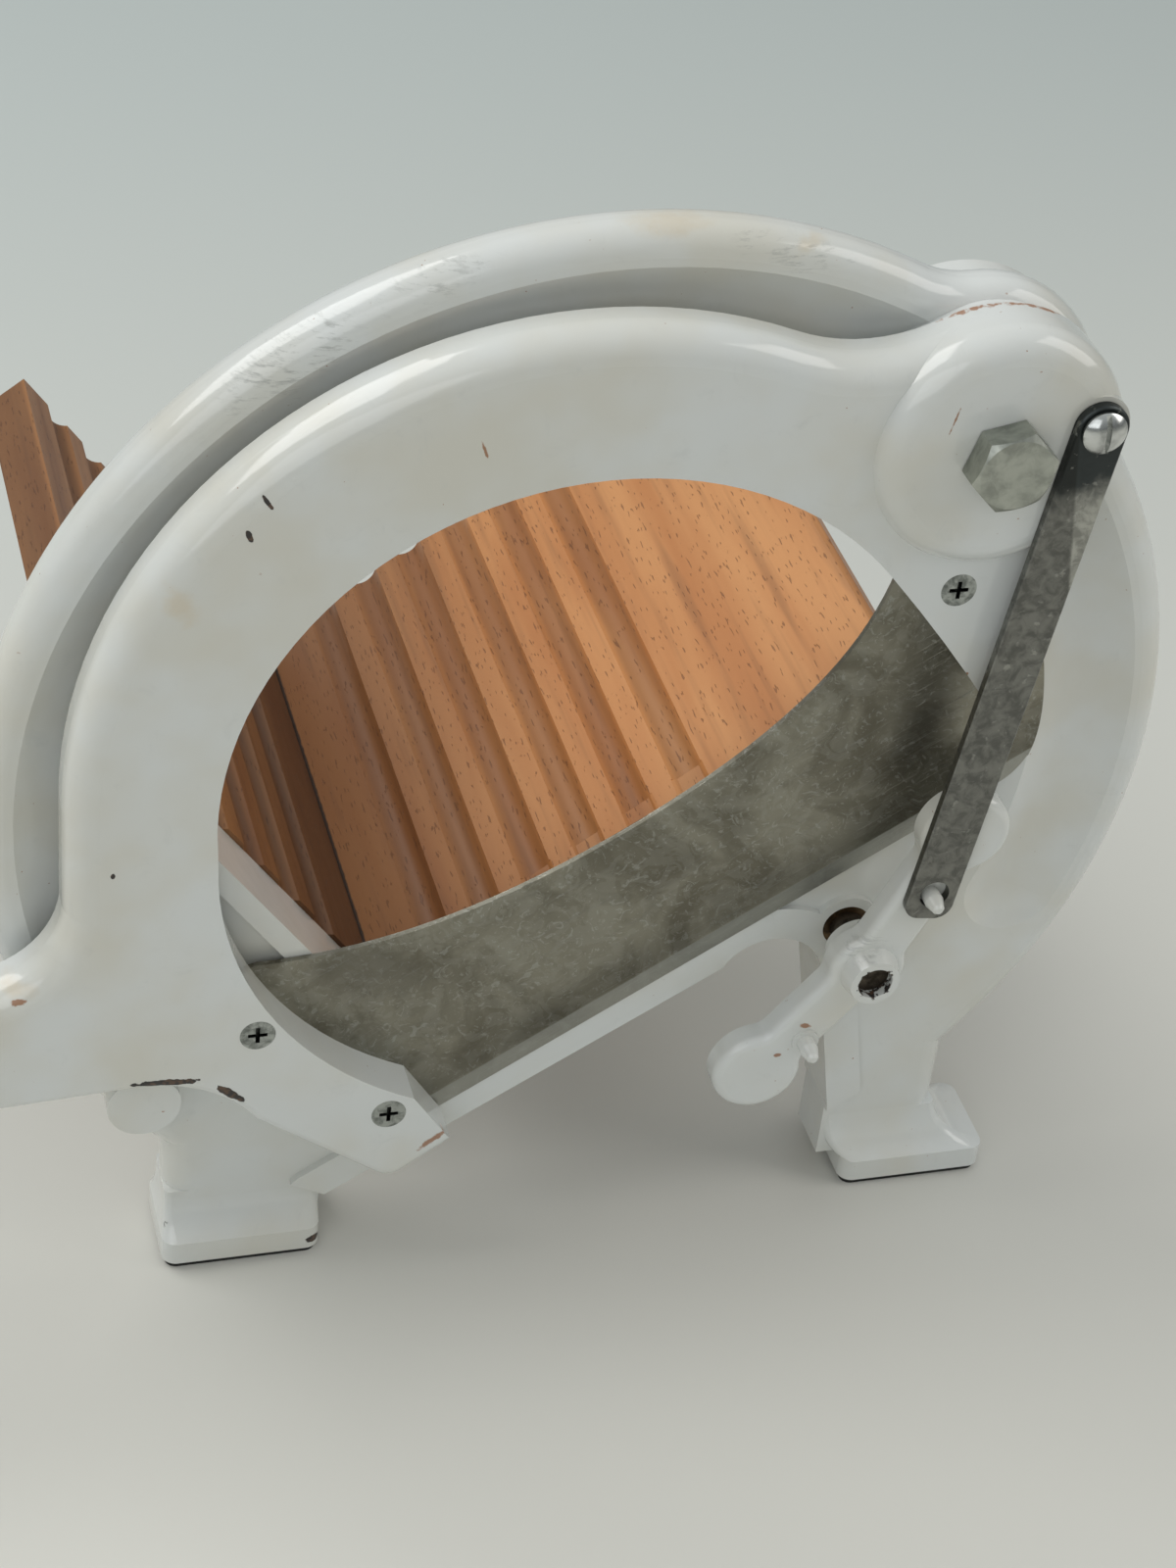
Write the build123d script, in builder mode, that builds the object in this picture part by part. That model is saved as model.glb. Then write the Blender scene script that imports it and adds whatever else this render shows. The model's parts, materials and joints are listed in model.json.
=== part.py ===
from build123d import *
from math import atan2, cos, degrees, hypot, radians, sin, sqrt, tan
import os

os.makedirs("parts", exist_ok=True)

# A hand bread slicer. Millimetres. X runs to the right along the slicing plane, Y runs
# away from the user along the trough, Z is up. The origin is on the table under the
# middle of the left front foot. A place in the slicing plane is a pair (x, z).

# ---- feet and pads --------------------------------------------------------------------
foot_width = 43.0
foot_depth = 28.0
foot_thickness = 7.0
foot_corner = 4.0
instep_rise = 5.0
instep_share = 0.7
instep_corner = 2.4
ankle_rise = 14.0
ankle_corner = 2.0
pad_thickness = 2.0
pad_inset = 1.0
right_foot_x = 194.0
rear_foot_y = 142.0

# ---- frame casting --------------------------------------------------------------------
ring_centre = (86.5, 149.5)
ring_radius = 154.5
mouth_radius = 108.0
plate_front = -8.0
plate_back = 8.0
lip_front = -10.0
lip_back = 10.0
lip_width = 6.0
bar_width = 10.0
bar_angle = 32.4
bar_root = (21.5, 16.8)
bar_end_inset = 8.0
arch_crown_x = 128.0
arch_crown_middle = (146.0, 92.3)
arch_shoulder = (156.5, 80.0)
arch_knee_z = 28.0
rim_round = 7.0
dish_radius = 132.0
dish_bend = 28.0
dish_depth = 3.4
dish_start_angle = -22.0
dish_end_angle = 196.0
neck_bend = 25.0
ankle_bend = 12.0
frame_boss_radius = 33.0
frame_boss_back = 13.0
frame_boss_step = 3.0
left_leg_edge = -20.5
right_leg_edge = 200.0
right_leg_inside = 166.0
leg_sink = 3.0
stop_boss_place = (-28.2, 66.7)
stop_boss_radius = 9.5
stop_boss_front = -20.0

# ---- trough ---------------------------------------------------------------------------
trough_corner = (37.6, 76.8)
trough_tilt = 37.0
bed_width = 162.5
fence_height = 119.5
board_thickness = 13.0
board_length = 157.0
rib_stand = 1.2
groove_pitch = 16.0
groove_width = 9.0
groove_depth = 2.3
bed_groove_start = 20.0
bed_groove_count = 6
fence_groove_start = 24.0
fence_groove_count = 6
board_edge = 1.5

# ---- lever arm and blade --------------------------------------------------------------
pivot = (171.0, 252.0)
arm_thickness = 13.0
arm_circle_centre = (76.0, 163.0)
arm_circle_radius = 124.5
arm_boss_radius = 32.0
arm_boss_height = 4.2
arm_boss_round = 7.5
crank_pad_radius = 7.8
arm_window_radius = 92.0
arm_window_top = (79.5, 158.0)
arm_window_bottom = (80.0, 147.0)
arm_left_edge = -48.5
arm_root_x = -64.0
arm_root_bottom = 74.6
arm_root_top = 112.2
arm_neck_bend = 45.0
arm_edge_round = 8.0
arm_under_round = 2.5
toe_round = 6.0
grip_waist = 25.0
grip_swell = 28.0
grip_depth = 20.0
grip_end_round = 6.0
blade_thickness = 1.5
blade_gap = 0.3
blade_bevel = 6.0
blade_screw_places = [(-0.6, 91.3), (35.0, 59.0), (167.8, 212.3)]
blade_screw_radius = 2.5
blade_screw_head_radius = 4.6
screw_recess_width = 1.1
screw_recess_depth = 1.5

# ---- pivot bolt -----------------------------------------------------------------------
bolt_radius = 6.0
bolt_head_flats = 19.0
bolt_head_height = 7.5
bolt_head_turn = 13.0
bolt_stand = 2.0
bolt_point = 1.0
hexagon_bevel = 0.3
hexagon_bevel_height = 1.2
sleeve_radius = 8.0
lock_washer_thickness = 2.6
lock_washer_radius = 9.8
lock_washer_split = 1.0
nut_flats = 19.0
nut_height = 10.0

# ---- crank link -----------------------------------------------------------------------
crank_offset = (22.35, 7.6)
link_width = 13.4
link_thickness = 2.5
link_gap = 0.3
crank_shoulder_radius = 4.0
crank_thread_radius = 3.0
crank_thread_length = 11.0
crank_head_radius = 5.6
crank_head_height = 2.8
crank_head_rim = 0.8
crank_slot_width = 1.3
crank_slot_turn = 3.0
crank_slot_floor = 1.2
link_end_reach = 6.8
link_end_corner = 4.6
link_edge = 0.4

# ---- rocker ---------------------------------------------------------------------------
rocker_axis = (161.5, 94.9)
rocker_thickness = 8.0
upper_pin_offset = (12.55, 25.5)
lower_pin_offset = (-14.9, -22.2)
upper_paddle_offset = (20.4, 42.7)
lower_paddle_offset = (-26.6, -32.8)
paddle_radius = 12.2
rocker_arm_width = 14.0
rocker_hub_radius = 10.5
rocker_nose_radius = 6.8
rocker_nose_length = 5.0
rocker_nose_flare = 1.2
rocker_nose_taper = 14.0
rocker_tail_radius = 8.5
rocker_tail_length = 3.5
drive_pin_radius = 2.5
drive_pin_tip_radius = 1.6
drive_pin_length = 8.0
drive_pin_shank_radius = 2.2
drive_pin_shank = 5.5
drive_pin_tip_edge = 0.8
drive_pin_tip_dimple = 0.9
pin_seat_height = 0.8
pin_seat_margin = 1.2
rocker_waist_bend = 5.0
rocker_edge_round = 2.5
rocker_back_edge = 1.0
cross_pin_radius = 1.2
pin_play = 1.55
pin_play_shift = (0.26, 1.38)

# ---- feed shaft, clutch and spindle ---------------------------------------------------
shaft_radius = 4.7
shaft_recess = 3.0
bush_wall = 1.8
bush_boss_wall = 2.8
bush_stand = 3.0
clutch_gap = 1.0
clutch_radius = 15.0
clutch_wall = 3.0
clutch_length = 15.0
clutch_floor = 4.0
clutch_cover_thickness = 1.5
roller_radius = 2.5
roller_count = 3
roller_slot_play = 1.6
cam_gap = 1.0
turned_edge = 0.8
spindle_core_radius = 4.6
spindle_crest_radius = 6.4
spindle_flat_radius = 4.2
spindle_turns = 3.0
thread_run_out = 5.0
spindle_tail_radius = 4.0
spindle_tail_stand = 2.0
pilot_radius = 2.5
pilot_length = 8.0
collar_radius = 8.0
collar_thickness = 5.0

# ---- rear stand -----------------------------------------------------------------------
stand_thickness = 8.0
ledge_thickness = 5.0
ledge_depth = 22.0
stand_fence_reach = 60.0
stand_bed_reach = 150.0
stand_left_shoulder = 70.0
stand_right_rise = 12.0
bearing_stand = 3.0
wood_screw_radius = 1.8
wood_screw_head_radius = 3.6
wood_screw_grip = 9.0
wood_screw_head_height = 2.0
wood_screw_head_taper = 20.0
wood_screw_slot = 1.0
corner_screw_length = 32.0
corner_screw_front_inset = 20.0
corner_screw_back_inset = 12.0

# ---- fits -----------------------------------------------------------------------------
running = 0.05
seat = 0.02
contact_gap = 0.3
over_cut = 1.0

# ---- places worked out from the sizes above -------------------------------------------
blade_back = lip_front - blade_gap
arm_back = blade_back - blade_thickness
arm_front = arm_back - arm_thickness
boss_front = arm_front - arm_boss_height
link_back = boss_front - link_gap
link_front = link_back - link_thickness
rocker_front = link_back + link_gap
rocker_back = rocker_front + rocker_thickness
frame_boss_front = arm_back + contact_gap
board_front = lip_back
board_back = board_front + board_length
stand_back = rear_foot_y + stand_thickness / 2
stand_front = rear_foot_y - stand_thickness / 2
crank_pin = (pivot[0] + crank_offset[0], pivot[1] + crank_offset[1])
upper_pin = (rocker_axis[0] + upper_pin_offset[0], rocker_axis[1] + upper_pin_offset[1])
lower_pin = (rocker_axis[0] + lower_pin_offset[0], rocker_axis[1] + lower_pin_offset[1])
bush_radius = shaft_radius + running + bush_wall
rocker_boss_radius = bush_radius + bush_boss_wall
bush_back = lip_back + bush_stand
clutch_front = bush_back + clutch_gap
clutch_back = clutch_front + clutch_length

tilt = radians(trough_tilt)
along_bed = (cos(tilt), sin(tilt))
up_fence = (-sin(tilt), cos(tilt))


def at(y):
    """The drawing plane at depth y, seen from the user's side; it extrudes towards the user."""
    return Plane.XZ.offset(-y)


def trough_point(along, up):
    """A point of the slicing plane, along the bed and up the fence from the trough's corner."""
    return (
        trough_corner[0] + along * along_bed[0] + up * up_fence[0],
        trough_corner[1] + along * along_bed[1] + up * up_fence[1],
    )


def between(start, end, share):
    """The point that lies at a share of the way from start to end."""
    return (start[0] + (end[0] - start[0]) * share, start[1] + (end[1] - start[1]) * share)


def axis_at(place):
    """The line through a place of the slicing plane, parallel to the trough."""
    return Axis((place[0], 0, place[1]), (0, 1, 0))


def across(place):
    """A plane through the line at a place, drawn as (distance from the line, y)."""
    return Plane(origin=(place[0], 0, place[1]), x_dir=(1, 0, 0), z_dir=(0, 0, 1))


def write(part, name):
    """Labels a finished piece and writes its file."""
    part.part.label = name
    export_step(part.part, f"parts/{name}.step")


def draw_under_arch():
    """The edges of the space under the bar and between the legs, open below the table."""
    run = arch_crown_x - bar_root[0]
    crown_start = (arch_crown_x, bar_root[1] + run * tan(radians(bar_angle)))
    below_table = -bar_root[1]
    with BuildLine() as contour:
        Polyline(
            (right_leg_inside, below_table), (bar_root[0], below_table), bar_root, crown_start
        )
        ThreePointArc(crown_start, arch_crown_middle, arch_shoulder)
        Polyline(
            arch_shoulder, (right_leg_inside, arch_knee_z), (right_leg_inside, below_table)
        )
    return contour.edges()


def draw_mouth(margin=0.0):
    """The bread's way through the frame: a circle above the two sides of the trough."""
    with Locations(ring_centre):
        Circle(mouth_radius + margin)
    drop = rib_stand + margin
    reach = 4 * mouth_radius
    corner = trough_point(-drop, -drop)
    with BuildLine() as quarter:
        Polyline(
            corner,
            trough_point(reach, -drop),
            trough_point(reach, reach),
            trough_point(-drop, reach),
            close=True,
        )
    make_face(quarter.edges(), mode=Mode.INTERSECT)


def ring_underside(x):
    """The height of the ring's lower outline at x."""
    return ring_centre[1] - sqrt(ring_radius**2 - (x - ring_centre[0]) ** 2)


def draw_leg(inner, outer):
    """One leg's flat face, from just above the foot up into the ring."""
    top = ring_underside(outer) + leg_sink
    with BuildLine() as outline:
        Polyline(
            (inner, leg_bottom), (outer, leg_bottom), (outer, top), (inner, top), close=True
        )
    make_face(outline.edges())


def add_foot(x, y, leg_inner, leg_outer):
    """A flat foot with a ramp that narrows to the leg above it."""
    leg_width = abs(leg_outer - leg_inner)
    leg_x = (leg_inner + leg_outer) / 2
    leg_depth = plate_back - plate_front
    top = pad_thickness + foot_thickness
    with BuildSketch(Plane.XY.offset(top)) as sole:
        with Locations((x, y)):
            RectangleRounded(foot_width, foot_depth, foot_corner)
    extrude(sole.sketch, amount=-foot_thickness)
    with BuildSketch(Plane.XY.offset(top + instep_rise)) as instep:
        with Locations(between((x, y), (leg_x, y), instep_share)):
            RectangleRounded(
                *between((foot_width, foot_depth), (leg_width, leg_depth), instep_share),
                instep_corner,
            )
    with BuildSketch(Plane.XY.offset(top + ankle_rise)) as ankle:
        with Locations((leg_x, y)):
            RectangleRounded(leg_width, leg_depth, ankle_corner)
    loft([sole.sketch, instep.sketch, ankle.sketch])


def on_circle(centre, radius, angle):
    """The point of a circle in the slicing plane at an angle in degrees."""
    return (
        centre[0] + radius * cos(radians(angle)),
        centre[1] + radius * sin(radians(angle)),
    )


def blend_points(centre_a, radius_a, centre_b, radius_b, bend):
    """Start, middle and end of a hollow arc that touches two circles from above."""
    span = hypot(centre_b[0] - centre_a[0], centre_b[1] - centre_a[1])
    reach_a = radius_a + bend
    reach_b = radius_b + bend
    along = (reach_a**2 - reach_b**2 + span**2) / (2 * span)
    up = sqrt(reach_a**2 - along**2)
    ux, uz = (centre_b[0] - centre_a[0]) / span, (centre_b[1] - centre_a[1]) / span
    hub = (centre_a[0] + along * ux - up * uz, centre_a[1] + along * uz + up * ux)
    start = between(centre_a, hub, radius_a / reach_a)
    end = between(centre_b, hub, radius_b / reach_b)
    chord = between(start, end, 0.5)
    away = hypot(chord[0] - hub[0], chord[1] - hub[1])
    return start, between(hub, chord, bend / away), end


def add_dish(y_face, towards):
    """Hollows the ring's flat face along an arc, with a rounded run-out at both ends."""
    y_centre = y_face - towards * (dish_bend - dish_depth)
    ends = [on_circle(ring_centre, dish_radius, a) for a in (dish_start_angle, dish_end_angle)]
    start_plane = Plane(
        origin=(ring_centre[0], 0, ring_centre[1]),
        x_dir=(cos(radians(dish_start_angle)), 0, sin(radians(dish_start_angle))),
        z_dir=(-sin(radians(dish_start_angle)), 0, cos(radians(dish_start_angle))),
    )
    with BuildSketch(start_plane) as section:
        with Locations((dish_radius, y_centre)):
            Circle(dish_bend)
    revolve(
        section.sketch,
        axis=Axis((ring_centre[0], 0, ring_centre[1]), (0, -1, 0)),
        revolution_arc=dish_end_angle - dish_start_angle,
        mode=Mode.SUBTRACT,
    )
    for x, z in ends:
        with Locations((x, y_centre, z)):
            Sphere(dish_bend, mode=Mode.SUBTRACT)


def add_ledge(underside, start, end, y_front, y_back):
    """A flat shelf that a board rests on; underside maps (along, depth) to the slicing plane."""
    with BuildSketch(at(y_back)) as shelf:
        with BuildLine() as outline:
            Polyline(
                underside(start, 0),
                underside(end, 0),
                underside(end - ledge_thickness, ledge_thickness),
                underside(start + ledge_thickness, ledge_thickness),
                close=True,
            )
        make_face(outline.edges())
    extrude(shelf.sketch, amount=y_back - y_front)


def bed_underside(along, depth):
    return trough_point(along, -board_thickness - depth)


def fence_outside(up, depth):
    return trough_point(-board_thickness - depth, up)


BED_LEDGE = (34.0, 118.0)
FENCE_LEDGE = (16.0, 76.0)
ledge_screw_inset = 16.0
front_ledge_y = lip_back + ledge_depth / 2
rear_ledge_y = stand_front - ledge_depth / 2


def ledge_screw_planes(y, outward=0.0):
    """Where each wood screw enters a ledge; every plane's normal points into the board."""
    planes = []
    for along in (BED_LEDGE[0] + ledge_screw_inset, BED_LEDGE[1] - ledge_screw_inset):
        x, z = bed_underside(along, ledge_thickness + outward)
        planes.append(
            Plane(origin=(x, y, z), x_dir=(0, 1, 0), z_dir=(up_fence[0], 0, up_fence[1]))
        )
    for up in (FENCE_LEDGE[0] + ledge_screw_inset, FENCE_LEDGE[1] - ledge_screw_inset):
        x, z = fence_outside(up, ledge_thickness + outward)
        planes.append(
            Plane(origin=(x, y, z), x_dir=(0, 1, 0), z_dir=(along_bed[0], 0, along_bed[1]))
        )
    return planes


def screw_clearance_holes(y):
    """Drills the ledges for the wood screws."""
    for plane in ledge_screw_planes(y):
        with BuildSketch(plane) as hole:
            Circle(wood_screw_radius + seat)
        extrude(hole.sketch, amount=ledge_thickness, mode=Mode.SUBTRACT)


# ---- frame casting --------------------------------------------------------------------
leg_bottom = pad_thickness + foot_thickness
left_leg = (bar_root[0], left_leg_edge)
right_leg = (right_leg_inside, right_leg_edge)
ankle_wall = min(ring_underside(left_leg_edge), ring_underside(right_leg_edge)) - leg_bottom
plate_thickness = plate_back - plate_front
lip_depth = lip_back - lip_front


def centre_distance(edge):
    """How far an edge's middle lies from the ring's axis."""
    place = edge.center()
    return hypot(place.X - ring_centre[0], place.Z - ring_centre[1])


def on_ring(place):
    """True for a point of the slicing plane on the ring's outer circle."""
    return abs(hypot(place.X - ring_centre[0], place.Y - ring_centre[1]) - ring_radius) < 0.1


def is_neck_corner(vertex):
    """Where the ring's outline meets the pivot boss."""
    return on_ring(vertex) and vertex.Y > ring_centre[1]


def is_ankle_corner(vertex):
    """Where the ring's outline meets the outer side of a leg."""
    beside = vertex.X < left_leg_edge + 1 or vertex.X > right_leg_edge - 1
    return on_ring(vertex) and beside and vertex.Y < ring_centre[1]


def is_rim(edge):
    """The outer edge of the plate, without the inner sides of the legs and their ends."""
    place = edge.center()
    between_legs = bar_root[0] - 1 < place.X < right_leg_inside + 1
    return centre_distance(edge) > ring_radius - 2.5 and place.Z > leg_bottom + 1 and not between_legs


with BuildPart() as frame_casting:
    with BuildSketch(at(plate_back)) as plate_shape:
        with Locations(ring_centre):
            Circle(ring_radius)
        with Locations(pivot):
            Circle(frame_boss_radius)
        draw_leg(*left_leg)
        draw_leg(*right_leg)
        with Locations((ring_centre[0], leg_bottom)):
            Rectangle(
                4 * ring_radius, ring_radius, align=(Align.CENTER, Align.MAX), mode=Mode.SUBTRACT
            )
        make_face(draw_under_arch(), mode=Mode.SUBTRACT)
        corners = plate_shape.vertices()
        fillet(corners.filter_by(is_neck_corner), radius=neck_bend)
        fillet(corners.filter_by(is_ankle_corner), radius=min(ankle_bend, ankle_wall / 2))
    extrude(amount=plate_thickness)
    flat_faces = frame_casting.faces().filter_by(Axis.Y).sort_by(Axis.Y)
    for flat in (flat_faces[0], flat_faces[-1]):
        fillet(flat.outer_wire().edges().filter_by(is_rim), radius=rim_round)
    for face, towards in ((plate_front, 1), (plate_back, -1)):
        add_dish(face, towards)
    with BuildSketch(at(lip_back)) as bar_shape:
        arch = make_face(draw_under_arch())
        offset(arch, amount=bar_width)
        make_face(draw_under_arch(), mode=Mode.SUBTRACT)
        with Locations(ring_centre):
            Circle(ring_radius - bar_end_inset, mode=Mode.INTERSECT)
    extrude(amount=lip_depth)
    with BuildSketch(at(lip_back)):
        draw_mouth(lip_width)
    extrude(amount=lip_depth)
    with BuildSketch(at(frame_boss_back)):
        with Locations(pivot):
            Circle(frame_boss_radius - frame_boss_step)
    extrude(amount=frame_boss_back - frame_boss_front)
    with BuildSketch(at(plate_back)):
        with Locations(stop_boss_place):
            Circle(stop_boss_radius)
    extrude(amount=plate_back - stop_boss_front)
    with BuildSketch(at(bush_back)):
        with Locations(rocker_axis):
            Circle(rocker_boss_radius)
    extrude(amount=bush_back - lip_front)
    add_foot(0.0, 0.0, *left_leg)
    add_foot(right_foot_x, 0.0, *right_leg)
    add_ledge(bed_underside, *BED_LEDGE, plate_back, lip_back + ledge_depth)
    add_ledge(fence_outside, *FENCE_LEDGE, plate_back, lip_back + ledge_depth)
    with BuildSketch(at(lip_back)):
        draw_mouth()
    extrude(amount=lip_depth, mode=Mode.SUBTRACT)
    with BuildSketch(at(0)):
        with Locations(pivot):
            Circle(bolt_radius + seat)
        with Locations(rocker_axis):
            Circle(bush_radius + seat)
    extrude(amount=frame_boss_radius, both=True, mode=Mode.SUBTRACT)
    screw_clearance_holes(front_ledge_y)
write(frame_casting, "frame_casting")

# ---- lever arm with its grip ----------------------------------------------------------
tip_left = (182.7, 175.4)
tip_right = (193.0, 182.0)
tip_inside = (166.4, 197.2)
lobe_middle = (200.2, 214.0)
arm_lobe_start_angle = -4.0
belly_start = (0.0, 61.4)
belly_middle = (-18.0, 74.8)
belly_end = (-32.0, 76.6)
left_bottom = (arm_left_edge, 133.0)
shoulder_middle = (-53.2, 120.6)
window_top_angle = 39.9
window_end_angle = 245.3
heel = (52.7, 46.6)
toe = (36.5, 34.6)
root_top = (arm_root_x, arm_root_top)
root_bottom = (arm_root_x, arm_root_bottom)
grip_y = (arm_back + arm_front) / 2
GRIP_SECTIONS = (
    (-75.0, 91.0, 31.0, 15.5, 6.0),
    (-95.0, 89.0, grip_waist, 18.5, 8.5),
    (-120.0, 87.5, 27.0, grip_depth, 9.5),
    (-145.0, 86.0, grip_swell, grip_depth, 9.6),
    (-163.0, 85.0, 20.0, 15.0, 7.0),
)


def front_rim(part):
    """The edges round the face that lies nearest to the user."""
    return part.faces().sort_by(Axis.Y)[0].outer_wire().edges()


def is_arm_outside(edge):
    """True for the arm's outer edge, from the grip's root over the top to the tip."""
    place = edge.center()
    reach = hypot(place.X - arm_window_top[0], place.Z - arm_window_top[1])
    return place.X > arm_root_x + 1 and place.Z > arm_root_top - 1 and reach > arm_window_radius


def is_arm_underside(edge):
    """True for the lower edge, from the grip's root to the toe and the heel."""
    place = edge.center()
    return place.Z < arm_root_bottom + 3 and place.X < heel[0] - 3


def draw_arm():
    """The arm's outside, seen from the front, closed straight across the window's mouth."""
    neck_start, neck_middle, neck_end = blend_points(
        arm_circle_centre, arm_circle_radius, pivot, arm_boss_radius, arm_neck_bend
    )
    left_top = (arm_left_edge, arm_circle_centre[1])
    boss_end = on_circle(pivot, arm_boss_radius, arm_lobe_start_angle)
    with BuildLine() as outline:
        ThreePointArc(
            left_top, on_circle(arm_circle_centre, arm_circle_radius, 125.0), neck_start
        )
        ThreePointArc(neck_start, neck_middle, neck_end)
        ThreePointArc(neck_end, on_circle(pivot, arm_boss_radius, 50.0), boss_end)
        ThreePointArc(boss_end, lobe_middle, tip_right)
        Polyline(tip_right, heel, toe, belly_start)
        ThreePointArc(belly_start, belly_middle, belly_end)
        Polyline(belly_end, root_bottom, root_top)
        ThreePointArc(root_top, shoulder_middle, left_bottom)
        Line(left_bottom, left_top)
    return outline.edges()


def draw_window():
    """The arm's opening, and with it the far side of the tip and the heel."""
    window_start = on_circle(arm_window_top, arm_window_radius, window_top_angle)
    window_left = on_circle(arm_window_top, arm_window_radius, 180.0)
    window_low = on_circle(arm_window_bottom, arm_window_radius, 180.0)
    window_end = on_circle(arm_window_bottom, arm_window_radius, window_end_angle)
    below_tip = (tip_right[0] + over_cut, tip_left[1] - over_cut)
    below_heel = between(window_end, heel, 1.6)
    with BuildLine() as outline:
        ThreePointArc(
            window_start, on_circle(arm_window_top, arm_window_radius, 110.0), window_left
        )
        Line(window_left, window_low)
        ThreePointArc(
            window_low, on_circle(arm_window_bottom, arm_window_radius, 215.0), window_end
        )
        Polyline(window_end, below_heel, (below_tip[0], below_heel[1]), below_tip)
        Line(below_tip, tip_left)
        ThreePointArc(tip_left, tip_inside, window_start)
    return outline.edges()


with BuildPart() as cutting_arm:
    with BuildSketch(at(arm_back)) as arm_shape:
        make_face(draw_arm())
        fillet(arm_shape.vertices().sort_by_distance((*toe, 0))[0], radius=toe_round)
    extrude(amount=arm_thickness)
    fillet(front_rim(cutting_arm).filter_by(is_arm_outside), radius=arm_edge_round)
    fillet(front_rim(cutting_arm).filter_by(is_arm_underside), radius=arm_under_round)
    with BuildSketch(at(arm_back)):
        make_face(draw_window())
    extrude(amount=arm_thickness, mode=Mode.SUBTRACT)
    sections = [cutting_arm.faces().sort_by(Axis.X)[0]]
    for x, z, height, depth, corner in GRIP_SECTIONS:
        plane = Plane(origin=(x, grip_y, z), x_dir=(0, 1, 0), z_dir=(-1, 0, 0))
        with BuildSketch(plane) as section:
            RectangleRounded(depth, height, corner)
        sections.append(section.sketch)
    loft(sections)
    grip_end = cutting_arm.faces().sort_by(Axis.X)[0]
    fillet(grip_end.edges(), radius=grip_end_round)
    with BuildPart(mode=Mode.PRIVATE) as boss:
        with BuildSketch(at(arm_back)):
            with Locations(pivot):
                Circle(arm_boss_radius)
        extrude(amount=arm_back - boss_front)
        fillet(boss.edges().sort_by(Axis.Y)[0], radius=arm_boss_round)
    add(boss)
    with BuildSketch(at(arm_front)):
        with Locations(crank_pin):
            Circle(crank_pad_radius)
    extrude(amount=arm_boss_height)
    with BuildSketch(at(0)):
        with Locations(pivot):
            Circle(sleeve_radius + running)
    extrude(amount=2 * arm_boss_radius, mode=Mode.SUBTRACT)
    with BuildSketch(at(boss_front)):
        with Locations(crank_pin):
            Circle(crank_thread_radius + seat)
    extrude(amount=-crank_thread_length - over_cut, mode=Mode.SUBTRACT)
    for x, z in blade_screw_places:
        with Locations(at(arm_front) * Location((x, z, 0))):
            CounterSinkHole(
                blade_screw_radius + seat, blade_screw_head_radius + seat, counter_sink_angle=90
            )
write(cutting_arm, "cutting_arm")


# ---- blade and its screws -------------------------------------------------------------
edge_start = (47.0, 42.6)
edge_end = (197.0, 140.0)
edge_length = hypot(edge_end[0] - edge_start[0], edge_end[1] - edge_start[1])
edge_x = (edge_end[0] - edge_start[0]) / edge_length
edge_z = (edge_end[1] - edge_start[1]) / edge_length
edge_land = 0.3
bevel_run = 10.0
bevel_fall = blade_thickness - edge_land
lobe_top = (190.0, 205.0)
bar_end = (157.2, 209.9)
tail_top = (1.4, 103.2)
bevel_plane = Plane(
    origin=(edge_end[0] + bevel_run * edge_x, 0, edge_end[1] + bevel_run * edge_z),
    x_dir=(-edge_z, 0, edge_x),
    z_dir=(-edge_x, 0, -edge_z),
)

with BuildPart() as slicing_blade:
    with BuildSketch(at(blade_back)):
        with BuildLine():
            Line(edge_start, edge_end)
            Spline(
                edge_end,
                (203.3, 149.5),
                (202.6, 175.5),
                lobe_top,
                tangents=((0.8, 0.55), (-0.5, 1)),
            )
            Polyline(lobe_top, (178.0, 219.5), (159.0, 219.5), bar_end)
            Spline(
                bar_end,
                (147.8, 186.0),
                (126.6, 160.0),
                (92.0, 133.6),
                (43.9, 110.2),
                tail_top,
            )
            Polyline(tail_top, (-10.0, 100.0), (-9.0, 84.0), (30.0, 47.5), edge_start)
        make_face()
    extrude(amount=blade_thickness)
    with BuildSketch(bevel_plane):
        with BuildLine():
            Polyline(
                (blade_bevel, arm_back),
                (-over_cut, arm_back + bevel_fall * (blade_bevel + over_cut) / blade_bevel),
                (-over_cut, arm_back - over_cut),
                (blade_bevel, arm_back - over_cut),
                close=True,
            )
        make_face()
    extrude(amount=edge_length + 2 * bevel_run, mode=Mode.SUBTRACT)
    with BuildSketch(at(blade_back)):
        with Locations(*blade_screw_places):
            Circle(blade_screw_radius + seat)
    extrude(amount=blade_thickness, mode=Mode.SUBTRACT)
write(slicing_blade, "slicing_blade")

with BuildPart() as blade_screws:
    for place in blade_screw_places:
        cone = blade_screw_head_radius - blade_screw_radius
        with BuildSketch(across(place)) as profile:
            with BuildLine():
                Polyline(
                    (0, arm_front),
                    (blade_screw_head_radius, arm_front),
                    (blade_screw_radius, arm_front + cone),
                    (blade_screw_radius, blade_back),
                    (0, blade_back),
                    close=True,
                )
            make_face()
        revolve(axis=axis_at(place))
        with BuildSketch(at(arm_front)):
            with Locations(place):
                Rectangle(blade_screw_radius * 2, screw_recess_width)
                Rectangle(screw_recess_width, blade_screw_radius * 2)
        extrude(amount=-screw_recess_depth, mode=Mode.SUBTRACT)
write(blade_screws, "blade_screws")


# ---- pivot bolt, sleeve, washer and nut -----------------------------------------------
bolt_seat = boss_front - contact_gap
head_front = bolt_seat - bolt_head_height
nut_front = frame_boss_back + lock_washer_thickness
hexagon_corner = 1 / cos(radians(30))


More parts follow.
